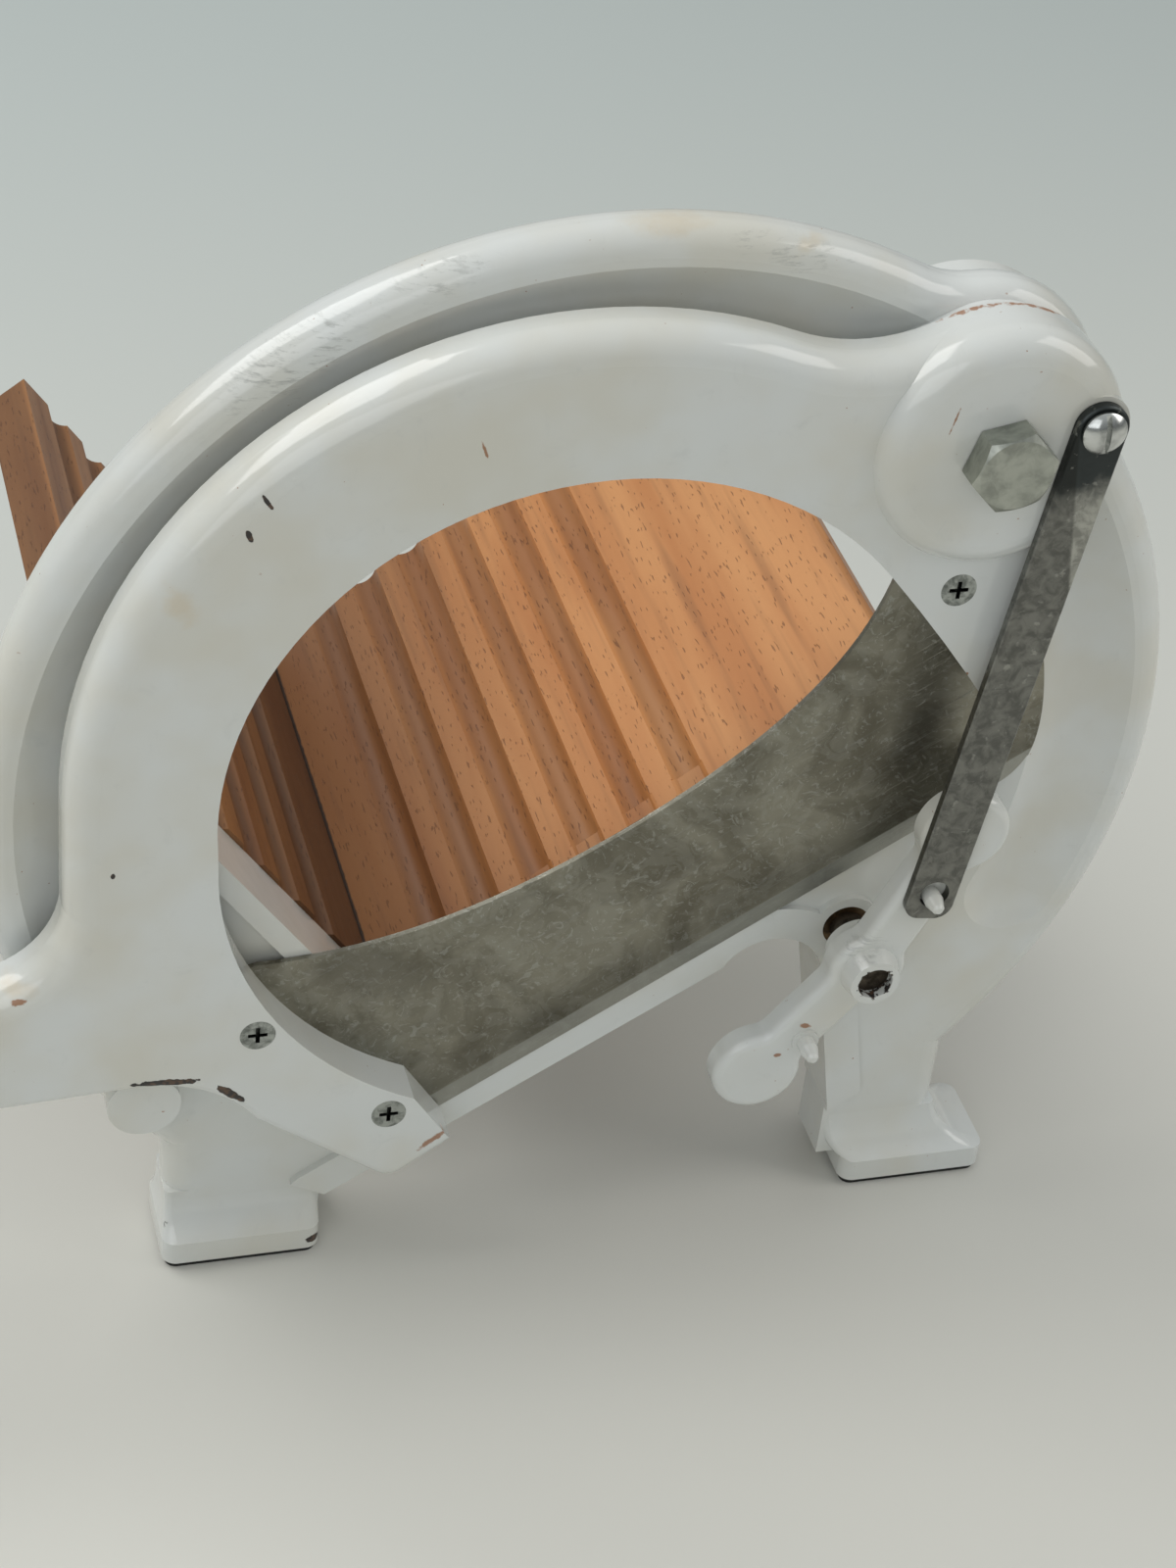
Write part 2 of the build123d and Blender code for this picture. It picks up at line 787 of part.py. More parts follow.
def add_hexagon(y_near, height, flats, turn):
    """A hexagon head or nut with its corners turned off at the front and back."""
    with BuildSketch(at(y_near + height)) as blank:
        with Locations(pivot):
            RegularPolygon(flats / 2, 6, major_radius=False, rotation=turn)
    extrude(blank.sketch, amount=height)
    with BuildSketch(across(pivot)) as profile:
        with BuildLine() as half:
            Polyline(
                (0, y_near),
                (flats / 2 - hexagon_bevel, y_near),
                (flats / 2 * hexagon_corner, y_near + hexagon_bevel_height),
                (flats / 2 * hexagon_corner, y_near + height),
                (0, y_near + height),
                close=True,
            )
        make_face(half.edges())
    revolve(profile.sketch, axis=axis_at(pivot), mode=Mode.INTERSECT)


with BuildPart() as pivot_bolt:
    add_hexagon(head_front, bolt_head_height, bolt_head_flats, bolt_head_turn)
    with BuildSketch(at(nut_front + nut_height + bolt_stand)):
        with Locations(pivot):
            Circle(bolt_radius)
    extrude(until=Until.NEXT)
    chamfer(pivot_bolt.edges().sort_by(Axis.Y)[-1], length=bolt_point)
write(pivot_bolt, "pivot_bolt")

with BuildPart() as pivot_sleeve:
    with BuildSketch(at(frame_boss_front)):
        with Locations(pivot):
            Circle(sleeve_radius)
            Circle(bolt_radius + seat, mode=Mode.SUBTRACT)
    extrude(amount=frame_boss_front - bolt_seat)
write(pivot_sleeve, "pivot_sleeve")

with BuildPart() as pivot_lock_washer:
    with BuildSketch(at(nut_front)):
        with Locations(pivot):
            Circle(lock_washer_radius)
            Circle(bolt_radius + seat, mode=Mode.SUBTRACT)
        with Locations((pivot[0], pivot[1] + lock_washer_radius)):
            Rectangle(lock_washer_split, lock_washer_radius, mode=Mode.SUBTRACT)
    extrude(amount=lock_washer_thickness)
write(pivot_lock_washer, "pivot_lock_washer")

with BuildPart() as pivot_nut:
    with BuildSketch(at(nut_front + nut_height)):
        with Locations(pivot):
            RegularPolygon(nut_flats / 2, 6, major_radius=False)
            Circle(bolt_radius + seat, mode=Mode.SUBTRACT)
    extrude(amount=nut_height)
write(pivot_nut, "pivot_nut")


# ---- crank screw and link -------------------------------------------------------------
link_length = hypot(upper_pin[0] - crank_pin[0], upper_pin[1] - crank_pin[1])
link_direction = (
    (upper_pin[0] - crank_pin[0]) / link_length,
    (upper_pin[1] - crank_pin[1]) / link_length,
)
crank_head_back = link_front - contact_gap

with BuildPart() as crank_screw:
    with BuildSketch(across(crank_pin)) as profile:
        with BuildLine():
            Line((0, crank_head_back - crank_head_height), (0, boss_front + crank_thread_length))
            Polyline(
                (0, boss_front + crank_thread_length),
                (crank_thread_radius, boss_front + crank_thread_length),
                (crank_thread_radius, boss_front),
                (crank_shoulder_radius, boss_front),
                (crank_shoulder_radius, crank_head_back),
                (crank_head_radius, crank_head_back),
                (crank_head_radius, crank_head_back - crank_head_rim),
            )
            ThreePointArc(
                (crank_head_radius, crank_head_back - crank_head_rim),
                (0.6 * crank_head_radius, crank_head_back - 0.85 * crank_head_height),
                (0, crank_head_back - crank_head_height),
            )
        make_face()
    revolve(axis=axis_at(crank_pin))
    with BuildSketch(at(crank_head_back - crank_slot_floor)):
        with Locations(crank_pin):
            Rectangle(crank_slot_width, 3 * crank_head_radius, rotation=crank_slot_turn)
    extrude(amount=crank_head_height, mode=Mode.SUBTRACT)
write(crank_screw, "crank_screw")

link_plane = Plane(
    origin=(crank_pin[0], link_back, crank_pin[1]),
    x_dir=(link_direction[0], 0, link_direction[1]),
    z_dir=(0, -1, 0),
)
with BuildPart() as feed_link:
    with BuildSketch(link_plane) as link_shape:
        Circle(link_width / 2)
        with Locations((link_length / 2 + link_end_reach / 2, 0)):
            Rectangle(link_length + link_end_reach, link_width)
        far_corners = link_shape.vertices().group_by(Axis.X)[-1]
        fillet(far_corners, radius=link_end_corner)
        Circle(crank_shoulder_radius + running, mode=Mode.SUBTRACT)
    extrude(amount=link_thickness)
    with BuildSketch(at(link_back)):
        with Locations((upper_pin[0] + pin_play_shift[0], upper_pin[1] + pin_play_shift[1])):
            Circle(drive_pin_radius + pin_play)
    extrude(amount=link_thickness, mode=Mode.SUBTRACT)
    chamfer(feed_link.faces().sort_by(Axis.Y)[0].outer_wire().edges(), length=link_edge)
write(feed_link, "feed_link")


# ---- rocker, its pins and shaft -------------------------------------------------------
def moved(place, offset):
    return (place[0] + offset[0], place[1] + offset[1])


def draw_rocker_arm(offset):
    """One tapered arm of the rocker, from the hub to its round paddle."""
    reach = hypot(*offset)
    turn = degrees(atan2(offset[1], offset[0]))
    middle = between(rocker_axis, moved(rocker_axis, offset), 0.5)
    with Locations(middle):
        Rectangle(reach, rocker_arm_width, rotation=turn)
    with Locations(moved(rocker_axis, offset)):
        Circle(paddle_radius)


shaft_front = rocker_front - rocker_nose_length + shaft_recess
tail_back = rocker_back + rocker_tail_length
cross_pin_y = rocker_back + rocker_tail_length / 2

with BuildPart() as rocker_lever:
    with BuildSketch(at(rocker_back)) as rocker_shape:
        with Locations(rocker_axis):
            Circle(rocker_hub_radius)
        draw_rocker_arm(upper_paddle_offset)
        draw_rocker_arm(lower_paddle_offset)
        fillet(rocker_shape.vertices(), radius=rocker_waist_bend)
    extrude(amount=rocker_thickness)
    fillet(front_rim(rocker_lever), radius=rocker_edge_round)
    chamfer(rocker_lever.faces().sort_by(Axis.Y)[-1].outer_wire().edges(), rocker_back_edge)
    with BuildSketch(at(rocker_front)):
        with Locations(rocker_axis):
            Circle(rocker_nose_radius + rocker_nose_flare)
    extrude(amount=rocker_nose_length, taper=rocker_nose_taper)
    with BuildSketch(at(tail_back)):
        with Locations(rocker_axis):
            Circle(rocker_tail_radius)
    extrude(amount=rocker_tail_length)
    with BuildSketch(at(rocker_front)):
        with Locations(lower_pin):
            Circle(drive_pin_radius + pin_seat_margin)
    extrude(amount=pin_seat_height)
    with BuildSketch(at(tail_back)):
        with Locations(rocker_axis):
            Circle(shaft_radius + seat)
    extrude(amount=tail_back - rocker_front + rocker_nose_length, mode=Mode.SUBTRACT)
    with BuildSketch(at(rocker_front + drive_pin_shank)):
        with Locations(upper_pin, lower_pin):
            Circle(drive_pin_shank_radius + seat)
    extrude(amount=drive_pin_shank + pin_seat_height, mode=Mode.SUBTRACT)
    with BuildSketch(Plane.XY.offset(rocker_axis[1])):
        with Locations((rocker_axis[0], cross_pin_y)):
            Circle(cross_pin_radius + seat)
    extrude(amount=2 * rocker_tail_radius, both=True, mode=Mode.SUBTRACT)
write(rocker_lever, "rocker_lever")

pin_bottom = rocker_front + drive_pin_shank - contact_gap
pin_shoulder = rocker_front - pin_seat_height
pin_tip = rocker_front - drive_pin_length

with BuildPart() as drive_pins:
    for place in (upper_pin, lower_pin):
        with BuildSketch(across(place)) as profile:
            with BuildLine():
                Polyline(
                    (0, pin_bottom),
                    (drive_pin_shank_radius, pin_bottom),
                    (drive_pin_shank_radius, pin_shoulder),
                    (drive_pin_radius, pin_shoulder),
                    (drive_pin_radius, (rocker_front + pin_tip) / 2),
                    (drive_pin_tip_radius, pin_tip + drive_pin_tip_edge),
                    (drive_pin_tip_dimple, pin_tip),
                    (0, pin_tip),
                    close=True,
                )
            make_face()
        revolve(axis=axis_at(place))
write(drive_pins, "drive_pins")

with BuildPart() as rocker_shaft:
    with BuildSketch(at(clutch_front + clutch_floor)):
        with Locations(rocker_axis):
            Circle(shaft_radius)
    extrude(amount=clutch_front + clutch_floor - shaft_front)
    with BuildSketch(at(clutch_front + clutch_floor)):
        with Locations(rocker_axis):
            Circle(pilot_radius + running)
    extrude(amount=pilot_length + contact_gap, mode=Mode.SUBTRACT)
    with BuildSketch(Plane.XY.offset(rocker_axis[1])):
        with Locations((rocker_axis[0], cross_pin_y)):
            Circle(cross_pin_radius + seat)
    extrude(amount=2 * rocker_tail_radius, both=True, mode=Mode.SUBTRACT)
write(rocker_shaft, "rocker_shaft")

with BuildPart() as rocker_cross_pin:
    with BuildSketch(Plane.XY.offset(rocker_axis[1])):
        with Locations((rocker_axis[0], cross_pin_y)):
            Circle(cross_pin_radius)
    extrude(amount=rocker_tail_radius - contact_gap, both=True)
write(rocker_cross_pin, "rocker_cross_pin")


# ---- bushes ---------------------------------------------------------------------------
with BuildPart() as front_bush:
    with BuildSketch(at(bush_back)):
        with Locations(rocker_axis):
            Circle(bush_radius)
            Circle(shaft_radius + running, mode=Mode.SUBTRACT)
    extrude(amount=bush_back - lip_front)
write(front_bush, "front_bush")

bearing_front = stand_front - bearing_stand
bearing_back = stand_back + bearing_stand
with BuildPart() as rear_bush:
    with BuildSketch(at(bearing_back)):
        with Locations(rocker_axis):
            Circle(bush_radius)
            Circle(spindle_tail_radius + running, mode=Mode.SUBTRACT)
    extrude(amount=bearing_back - bearing_front)
write(rear_bush, "rear_bush")


# ---- one-way clutch -------------------------------------------------------------------
clutch_bore = clutch_radius - clutch_wall
roller_track = clutch_bore - roller_radius - running
roller_flat = roller_track - roller_radius - seat
cover_front = clutch_back - clutch_cover_thickness
cam_front = clutch_front + clutch_floor + cam_gap
cam_back = cover_front - contact_gap

with BuildPart() as clutch_drum:
    with BuildSketch(at(clutch_back)):
        with Locations(rocker_axis):
            Circle(clutch_radius)
    extrude(amount=clutch_length)
    chamfer(clutch_drum.edges(), length=turned_edge)
    with BuildSketch(at(clutch_back)):
        with Locations(rocker_axis):
            Circle(clutch_bore)
    extrude(amount=clutch_length - clutch_floor, mode=Mode.SUBTRACT)
    with BuildSketch(at(clutch_back)):
        with Locations(rocker_axis):
            Circle(shaft_radius + seat)
    extrude(amount=clutch_length, mode=Mode.SUBTRACT)
write(clutch_drum, "clutch_drum")

with BuildPart() as clutch_cover:
    with BuildSketch(at(clutch_back)):
        with Locations(rocker_axis):
            Circle(clutch_bore - seat)
            Circle(spindle_core_radius + contact_gap, mode=Mode.SUBTRACT)
    extrude(amount=clutch_cover_thickness)
write(clutch_cover, "clutch_cover")

with BuildPart() as clutch_cam:
    with BuildSketch(at(cam_back)):
        with Locations(rocker_axis):
            Circle(clutch_bore - contact_gap)
            with PolarLocations(roller_flat, roller_count):
                Rectangle(
                    clutch_bore,
                    2 * roller_radius + roller_slot_play,
                    align=(Align.MIN, Align.CENTER),
                    mode=Mode.SUBTRACT,
                )
            Circle(spindle_core_radius + seat, mode=Mode.SUBTRACT)
    extrude(amount=cam_back - cam_front)
write(clutch_cam, "clutch_cam")

with BuildPart() as clutch_rollers:
    with BuildSketch(at(cam_back)):
        with Locations(rocker_axis):
            with PolarLocations(roller_track, roller_count):
                Circle(roller_radius)
    extrude(amount=cam_back - cam_front)
write(clutch_rollers, "clutch_rollers")


# ---- feed spindle ---------------------------------------------------------------------
spindle_front = clutch_front + clutch_floor + contact_gap
thread_front = clutch_back + thread_run_out
thread_back = bearing_front - thread_run_out
collar_front = bearing_back + contact_gap
spindle_back = collar_front + collar_thickness + spindle_tail_stand

with BuildSketch(at(thread_back)) as thread_section:
    with Locations(rocker_axis):
        Ellipse(spindle_crest_radius, spindle_flat_radius)
coarse_thread = Solid.extrude_linear_with_rotation(
    thread_section.sketch.faces()[0],
    (rocker_axis[0], thread_back, rocker_axis[1]),
    (0, thread_front - thread_back, 0),
    360 * spindle_turns,
)
with BuildPart() as feed_spindle:
    with BuildSketch(at(spindle_front)):
        with Locations(rocker_axis):
            Circle(pilot_radius)
    extrude(amount=pilot_length)
    with BuildSketch(at(thread_front)):
        with Locations(rocker_axis):
            Circle(spindle_core_radius)
    extrude(amount=thread_front - spindle_front)
    add(coarse_thread)
    with BuildSketch(at(spindle_back)):
        with Locations(rocker_axis):
            Circle(spindle_tail_radius)
    extrude(amount=spindle_back - thread_back)
write(feed_spindle, "feed_spindle")

with BuildPart() as spindle_collar:
    with BuildSketch(at(collar_front + collar_thickness)):
        with Locations(rocker_axis):
            Circle(collar_radius)
            Circle(spindle_tail_radius + seat, mode=Mode.SUBTRACT)
    extrude(amount=collar_thickness)
    rims = spindle_collar.edges().filter_by(GeomType.CIRCLE).sort_by(SortBy.RADIUS)[-2:]
    chamfer(rims, length=turned_edge)
write(spindle_collar, "spindle_collar")


# ---- rear stand -----------------------------------------------------------------------
with BuildPart() as rear_stand:
    with BuildSketch(at(stand_back)) as stand_shape:
        with BuildLine():
            Polyline(
                (left_leg_edge, leg_bottom),
                (left_leg_edge, stand_left_shoulder),
                fence_outside(stand_fence_reach, 0),
                trough_point(-board_thickness, -board_thickness),
                bed_underside(stand_bed_reach, 0),
                (right_leg_edge, rocker_axis[1] + stand_right_rise),
                (right_leg_edge, leg_bottom),
                close=True,
            )
        make_face()
        make_face(draw_under_arch(), mode=Mode.SUBTRACT)
    extrude(amount=stand_thickness)
    with BuildSketch(at(bearing_back)):
        with Locations(rocker_axis):
            Circle(rocker_boss_radius)
    extrude(amount=bearing_back - bearing_front)
    add_foot(0.0, rear_foot_y, *left_leg)
    add_foot(right_foot_x, rear_foot_y, *right_leg)
    add_ledge(bed_underside, *BED_LEDGE, stand_front - ledge_depth, stand_back)
    add_ledge(fence_outside, *FENCE_LEDGE, stand_front - ledge_depth, stand_back)
    with BuildSketch(at(bearing_back)):
        with Locations(rocker_axis):
            Circle(bush_radius + seat)
    extrude(amount=bearing_back - bearing_front, mode=Mode.SUBTRACT)
    screw_clearance_holes(rear_ledge_y)
write(rear_stand, "rear_stand")


# ---- boards ---------------------------------------------------------------------------
def board_plane(along, up):
    """Drawn as (along the bed, up the fence) from a point of the trough; extrudes to the front."""
    x, z = trough_point(along, up)
    return Plane(
        origin=(x, board_back, z), x_dir=(along_bed[0], 0, along_bed[1]), z_dir=(0, -1, 0)
    )


groove_radius = (groove_width**2 / 4 + groove_depth**2) / (2 * groove_depth)
groove_lift = groove_radius - groove_depth
screw_pilot = wood_screw_grip + over_cut


def drill_pilots(y):
    """Pilot holes for the ledges' screws; each cuts only the board that it reaches."""
    for plane in ledge_screw_planes(y, -ledge_thickness):
        with BuildSketch(plane) as hole:
            Circle(wood_screw_radius + seat)
        extrude(hole.sketch, amount=screw_pilot, mode=Mode.SUBTRACT)


def corner_screw_plane(y):
    """Where a corner screw enters the fence; the normal points into the bed's edge."""
    x, z = fence_outside(-board_thickness / 2, 0)
    return Plane(origin=(x, y, z), x_dir=(0, 1, 0), z_dir=(along_bed[0], 0, along_bed[1]))


corner_screw_ys = [
    board_front + corner_screw_front_inset,
    board_front + board_length / 2,
    board_back - corner_screw_back_inset,
]


def drill_corner_holes():
    for y in corner_screw_ys:
        with BuildSketch(corner_screw_plane(y)) as hole:
            Circle(wood_screw_radius + seat)
        extrude(hole.sketch, amount=corner_screw_length + over_cut, mode=Mode.SUBTRACT)
        with BuildSketch(corner_screw_plane(y)) as sink:
            Circle(wood_screw_head_radius + seat)
        extrude(sink.sketch, amount=wood_screw_head_radius, taper=45, mode=Mode.SUBTRACT)


with BuildPart() as bed_board:
    with BuildSketch(board_plane(0, 0)):
        Rectangle(bed_width, board_thickness, align=(Align.MIN, Align.MAX))
        for i in range(bed_groove_count):
            with Locations((bed_groove_start + i * groove_pitch, groove_lift)):
                Circle(groove_radius, mode=Mode.SUBTRACT)
    extrude(amount=board_length)
    far_face = bed_board.faces().sort_by(lambda f: f.center().X)[-1]
    chamfer(far_face.edges().group_by(Axis.Z)[-1], length=board_edge)
    drill_pilots(front_ledge_y)
    drill_pilots(rear_ledge_y)
    drill_corner_holes()
write(bed_board, "bed_board")

with BuildPart() as fence_board:
    with BuildSketch(board_plane(0, -board_thickness)):
        Rectangle(
            board_thickness, fence_height + board_thickness, align=(Align.MAX, Align.MIN)
        )
        for i in range(fence_groove_count):
            up = board_thickness + fence_groove_start + i * groove_pitch
            with Locations((groove_lift, up)):
                Circle(groove_radius, mode=Mode.SUBTRACT)
    extrude(amount=board_length)
    drill_pilots(front_ledge_y)
    drill_pilots(rear_ledge_y)
    drill_corner_holes()
write(fence_board, "fence_board")


# ---- wood screws ----------------------------------------------------------------------
def add_pan_screws(y):
    """The four screws of one pair of ledges, with low round heads under the ledges."""
    for plane in ledge_screw_planes(y):
        with BuildSketch(plane) as shank:
            Circle(wood_screw_radius)
        extrude(shank.sketch, amount=ledge_thickness + wood_screw_grip)
        with BuildSketch(plane) as head:
            Circle(wood_screw_head_radius)
        extrude(head.sketch, amount=-wood_screw_head_height, taper=wood_screw_head_taper)
        with BuildSketch(plane.offset(-wood_screw_head_height)) as slot:
            Rectangle(wood_screw_slot, 2.2 * wood_screw_head_radius)
        extrude(slot.sketch, amount=wood_screw_slot, mode=Mode.SUBTRACT)


with BuildPart() as front_board_screws:
    add_pan_screws(front_ledge_y)
write(front_board_screws, "front_board_screws")

with BuildPart() as rear_board_screws:
    add_pan_screws(rear_ledge_y)
write(rear_board_screws, "rear_board_screws")

with BuildPart() as corner_screws:
    for y in corner_screw_ys:
        plane = corner_screw_plane(y)
        with BuildSketch(plane) as shank:
            Circle(wood_screw_radius)
        extrude(shank.sketch, amount=corner_screw_length)
        with BuildSketch(plane) as head:
            Circle(wood_screw_head_radius)
        extrude(head.sketch, amount=wood_screw_head_radius - wood_screw_radius, taper=45)
write(corner_screws, "corner_screws")


# ---- pads -----------------------------------------------------------------------------
def add_pads(y):
    for x in (0.0, right_foot_x):
        with BuildSketch(Plane.XY) as pad:
            with Locations((x, y)):
                RectangleRounded(
                    foot_width - 2 * pad_inset, foot_depth - 2 * pad_inset, foot_corner - pad_inset
                )
        extrude(pad.sketch, amount=pad_thickness)


with BuildPart() as front_pads:
    add_pads(0.0)
write(front_pads, "front_pads")

with BuildPart() as rear_pads:
    add_pads(rear_foot_y)
write(rear_pads, "rear_pads")
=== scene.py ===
import json
from math import atan2, cos, degrees, radians, sin, sqrt

import bpy
from mathutils import Matrix, Vector


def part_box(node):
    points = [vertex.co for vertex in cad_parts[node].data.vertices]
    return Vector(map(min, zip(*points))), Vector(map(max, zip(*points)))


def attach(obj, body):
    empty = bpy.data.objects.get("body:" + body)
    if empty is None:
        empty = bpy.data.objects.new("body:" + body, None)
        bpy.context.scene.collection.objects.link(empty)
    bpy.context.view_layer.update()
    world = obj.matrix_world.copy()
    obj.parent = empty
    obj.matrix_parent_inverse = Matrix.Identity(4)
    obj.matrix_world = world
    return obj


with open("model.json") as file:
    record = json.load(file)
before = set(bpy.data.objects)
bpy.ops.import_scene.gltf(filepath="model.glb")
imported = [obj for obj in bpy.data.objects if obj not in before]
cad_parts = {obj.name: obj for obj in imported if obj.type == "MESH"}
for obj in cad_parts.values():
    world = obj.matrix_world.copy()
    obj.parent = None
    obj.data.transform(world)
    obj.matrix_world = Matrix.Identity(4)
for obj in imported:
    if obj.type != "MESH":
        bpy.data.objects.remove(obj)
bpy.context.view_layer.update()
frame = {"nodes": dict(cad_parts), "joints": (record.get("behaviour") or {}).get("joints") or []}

# A hand bread slicer on a pale floor. Blender works in metres. Sizes and places here are in
# millimetres, with X to the right, Y away from the user and Z up, and MM turns them to metres.
MM = 0.001


# ---- places read from the frame -----------------------------------------------------------
def joint_place(name):
    """Where a joint's axis, which runs along Y, lies in X and Z."""
    place = next(joint["pos_m"] for joint in frame["joints"] if joint["name"] == name)
    return place[0] / MM, place[2] / MM


def front_of(node_name):
    """The Y of a node's face that is nearest to the user."""
    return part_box(node_name)[0].y / MM


CRANK_PIN = joint_place("link_swing")
ROCKER_AXIS = joint_place("rocker_swing")
ARM_FRONT = front_of("blade_screws")
LIP_FRONT = front_of("front_bush")
LIP_BACK = front_of("bed_board")

# ---- sizes and places repeated from the CAD model -----------------------------------------
ROCKER_FRONT = -29.0
PLATE_FRONT = -8.0
LINK_LOWER_PIN = (174.05, 120.4)
BLADE_EDGE = ((47.0, 42.6), (197.0, 140.0))
TROUGH_TILT = 37.0
TROUGH_CORNER = (37.6, 76.8)
BED_WIDTH = 162.5
LIP_DROP = 1.2
GROOVE_START = 20.0
GROOVE_PITCH = 16.0
GROOVE_COUNT = 6
GROOVE_WIDTH = 9.0
GROOVE_DEPTH = 2.3

# ---- the bed's tongue on the casting's lip ------------------------------------------------
NOSE_FRONT = LIP_FRONT + 0.4
NOSE_SEAT = 0.02
NOSE_LEAST = 0.15
NOSE_STEP = 0.75

# ---- camera, floor and light --------------------------------------------------------------
CAMERA_PLACE = (-126.3, -615.4, 628.9)
CAMERA_HEADING = 19.16
CAMERA_ELEVATION = -36.72
CAMERA_ROLL = 6.76
CAMERA_LENS = 73.1
SENSOR_WIDTH = 36.0
OBJECT_MIDDLE = (70.0, 40.0, 150.0)
FLOOR_HALF = 6000.0
FLOOR_NEAR_Y = -100.0
FLOOR_FAR_Y = 900.0
WORLD_STRENGTH = 0.62
WORLD_BRIGHT_FROM = 0.9

# Each lamp: name, place, width and height, watts, colour.
LAMPS = (
    ("window", (-900.0, 500.0, 1500.0), (1500.0, 1100.0), 17.0, (1.0, 0.99, 0.97)),
    ("front_soft", (-700.0, -1300.0, 900.0), (1400.0, 1000.0), 5.0, (0.96, 0.98, 1.0)),
    ("right_soft", (1200.0, -300.0, 900.0), (700.0, 900.0), 4.0, (1.0, 0.97, 0.93)),
)

# The Mix node keeps its sockets for colour after those for numbers and vectors.
MIX_SHARE, MIX_A, MIX_B, MIX_RESULT = 0, 6, 7, 2


class Paint:
    """A procedural material. Its coordinates are the object's own, in millimetres."""

    def __init__(self, name, metallic=0.0):
        self.material = bpy.data.materials.new(name)
        self.material.use_nodes = True
        self.tree = self.material.node_tree
        self.shader = self.tree.nodes["Principled BSDF"]
        self.set("Metallic", metallic)
        source = self.node("ShaderNodeTexCoord").outputs["Object"]
        self.place = self.vector_math("MULTIPLY", source, (1 / MM,) * 3)

    def fill(self, socket, value):
        """Gives a socket another node's output or a plain value."""
        if isinstance(value, bpy.types.NodeSocket):
            self.tree.links.new(value, socket)
        else:
            socket.default_value = value

    def node(self, kind, inputs=None, **settings):
        """Adds a node with its settings and inputs."""
        made = self.tree.nodes.new(kind)
        for key, value in settings.items():
            setattr(made, key, value)
        for key, value in (inputs or {}).items():
            self.fill(made.inputs[key], value)
        return made

    def set(self, key, value):
        """Sets one of the shader's own sockets, by value or by link."""
        self.fill(self.shader.inputs[key], value)

    def math(self, operation, a, b=0.0):
        """A number worked out from one or two others."""
        return self.node("ShaderNodeMath", {0: a, 1: b}, operation=operation).outputs[0]

    def vector_math(self, operation, a, b):
        """A vector worked out from two others."""
        return self.node("ShaderNodeVectorMath", {0: a, 1: b}, operation=operation).outputs[0]

    def axes(self, vector):
        """The X, Y and Z of a vector."""
        return self.node("ShaderNodeSeparateXYZ", {0: vector}).outputs

    def turned(self, origin, turn, scale=(1.0, 1.0, 1.0)):
        """Coordinates from a point of the object, turned about Y, in steps of scale."""
        inputs = {
            "Vector": self.place,
            "Location": origin,
            "Rotation": (0.0, radians(turn), 0.0),
            "Scale": scale,
        }
        return self.node("ShaderNodeMapping", inputs, vector_type="TEXTURE").outputs[0]

    def field(self, vector, detail=3.0, rough=0.55, warp=0.0):
        """Soft noise over given coordinates, 0 to 1, with features about one unit wide."""
        inputs = {
            "Vector": vector,
            "Scale": 1.0,
            "Detail": detail,
            "Roughness": rough,
            "Distortion": warp,
        }
        return self.node("ShaderNodeTexNoise", inputs).outputs["Fac"]

    def noise(self, size, detail=3.0, rough=0.55, warp=0.0):
        """Soft noise whose features are about size millimetres, in every direction or each."""
        sizes = (size,) * 3 if isinstance(size, float) else size
        return self.field(self.vector_math("DIVIDE", self.place, sizes), detail, rough, warp)

    def step(self, value, low, high):
        """0 below low, 1 above high, smooth between; low may be the larger."""
        inputs = {"Value": value, "From Min": low, "From Max": high}
        made = self.node("ShaderNodeMapRange", inputs, interpolation_type="SMOOTHSTEP")
        return made.outputs["Result"]

    def blend(self, share, a, b):
        """Number a where share is 0, number b where it is 1."""
        inputs = {"Value": share, "To Min": a, "To Max": b}
        return self.node("ShaderNodeMapRange", inputs).outputs["Result"]

    def mix(self, share, a, b):
        """Colour a where share is 0, colour b where it is 1."""
        inputs = {MIX_SHARE: share, MIX_A: a, MIX_B: b}
        return self.node("ShaderNodeMix", inputs, data_type="RGBA").outputs[MIX_RESULT]

    def over(self, colour, mask, strength, top):
        """A colour with another laid over it where a mask is 1, at a strength of 0 to 1."""
        return self.mix(self.math("MULTIPLY", mask, strength), colour, top)

    def raised(self, value, mask, amount):
        """A number with an amount added to it where a mask is 1."""
        return self.math("ADD", value, self.math("MULTIPLY", mask, amount))

    def near(self, mark, ragged, soft, grain):
        """1 inside a mark's ellipsoid, 0 outside, with an edge that noise makes ragged."""
        centre, radii, turn = mark
        local = self.turned(centre, turn, radii)
        reach = self.node("ShaderNodeVectorMath", {0: local}, operation="LENGTH").outputs[1]
        noise = self.math("SUBTRACT", self.noise(grain, detail=4.0, rough=0.6), 0.5)
        return self.step(self.raised(reach, noise, 2.0 * ragged), 1.0, 1.0 - soft)

    def near_any(self, marks, ragged, soft, grain):
        """1 inside any of several marks."""
        masks = [self.near(mark, ragged, soft, grain) for mark in marks]
        total = masks[0]
        for mask in masks[1:]:
            total = self.math("MAXIMUM", total, mask)
        return total

    def bump(self, height, depth, normal=None):
        """Tilts the shading by a height field whose full range is depth millimetres."""
        inputs = {"Height": height, "Strength": 1.0, "Distance": depth * MM}
        if normal is not None:
            inputs["Normal"] = normal
        return self.node("ShaderNodeBump", inputs).outputs[0]


def srgb(red, green, blue):
    """A colour as seen on screen, 0 to 255, as the linear value that a socket takes."""
    values = []
    for part in (red, green, blue):
        share = part / 255.0
        values.append(share / 12.92 if share <= 0.04045 else ((share + 0.055) / 1.055) ** 2.4)
    return (*values, 1.0)


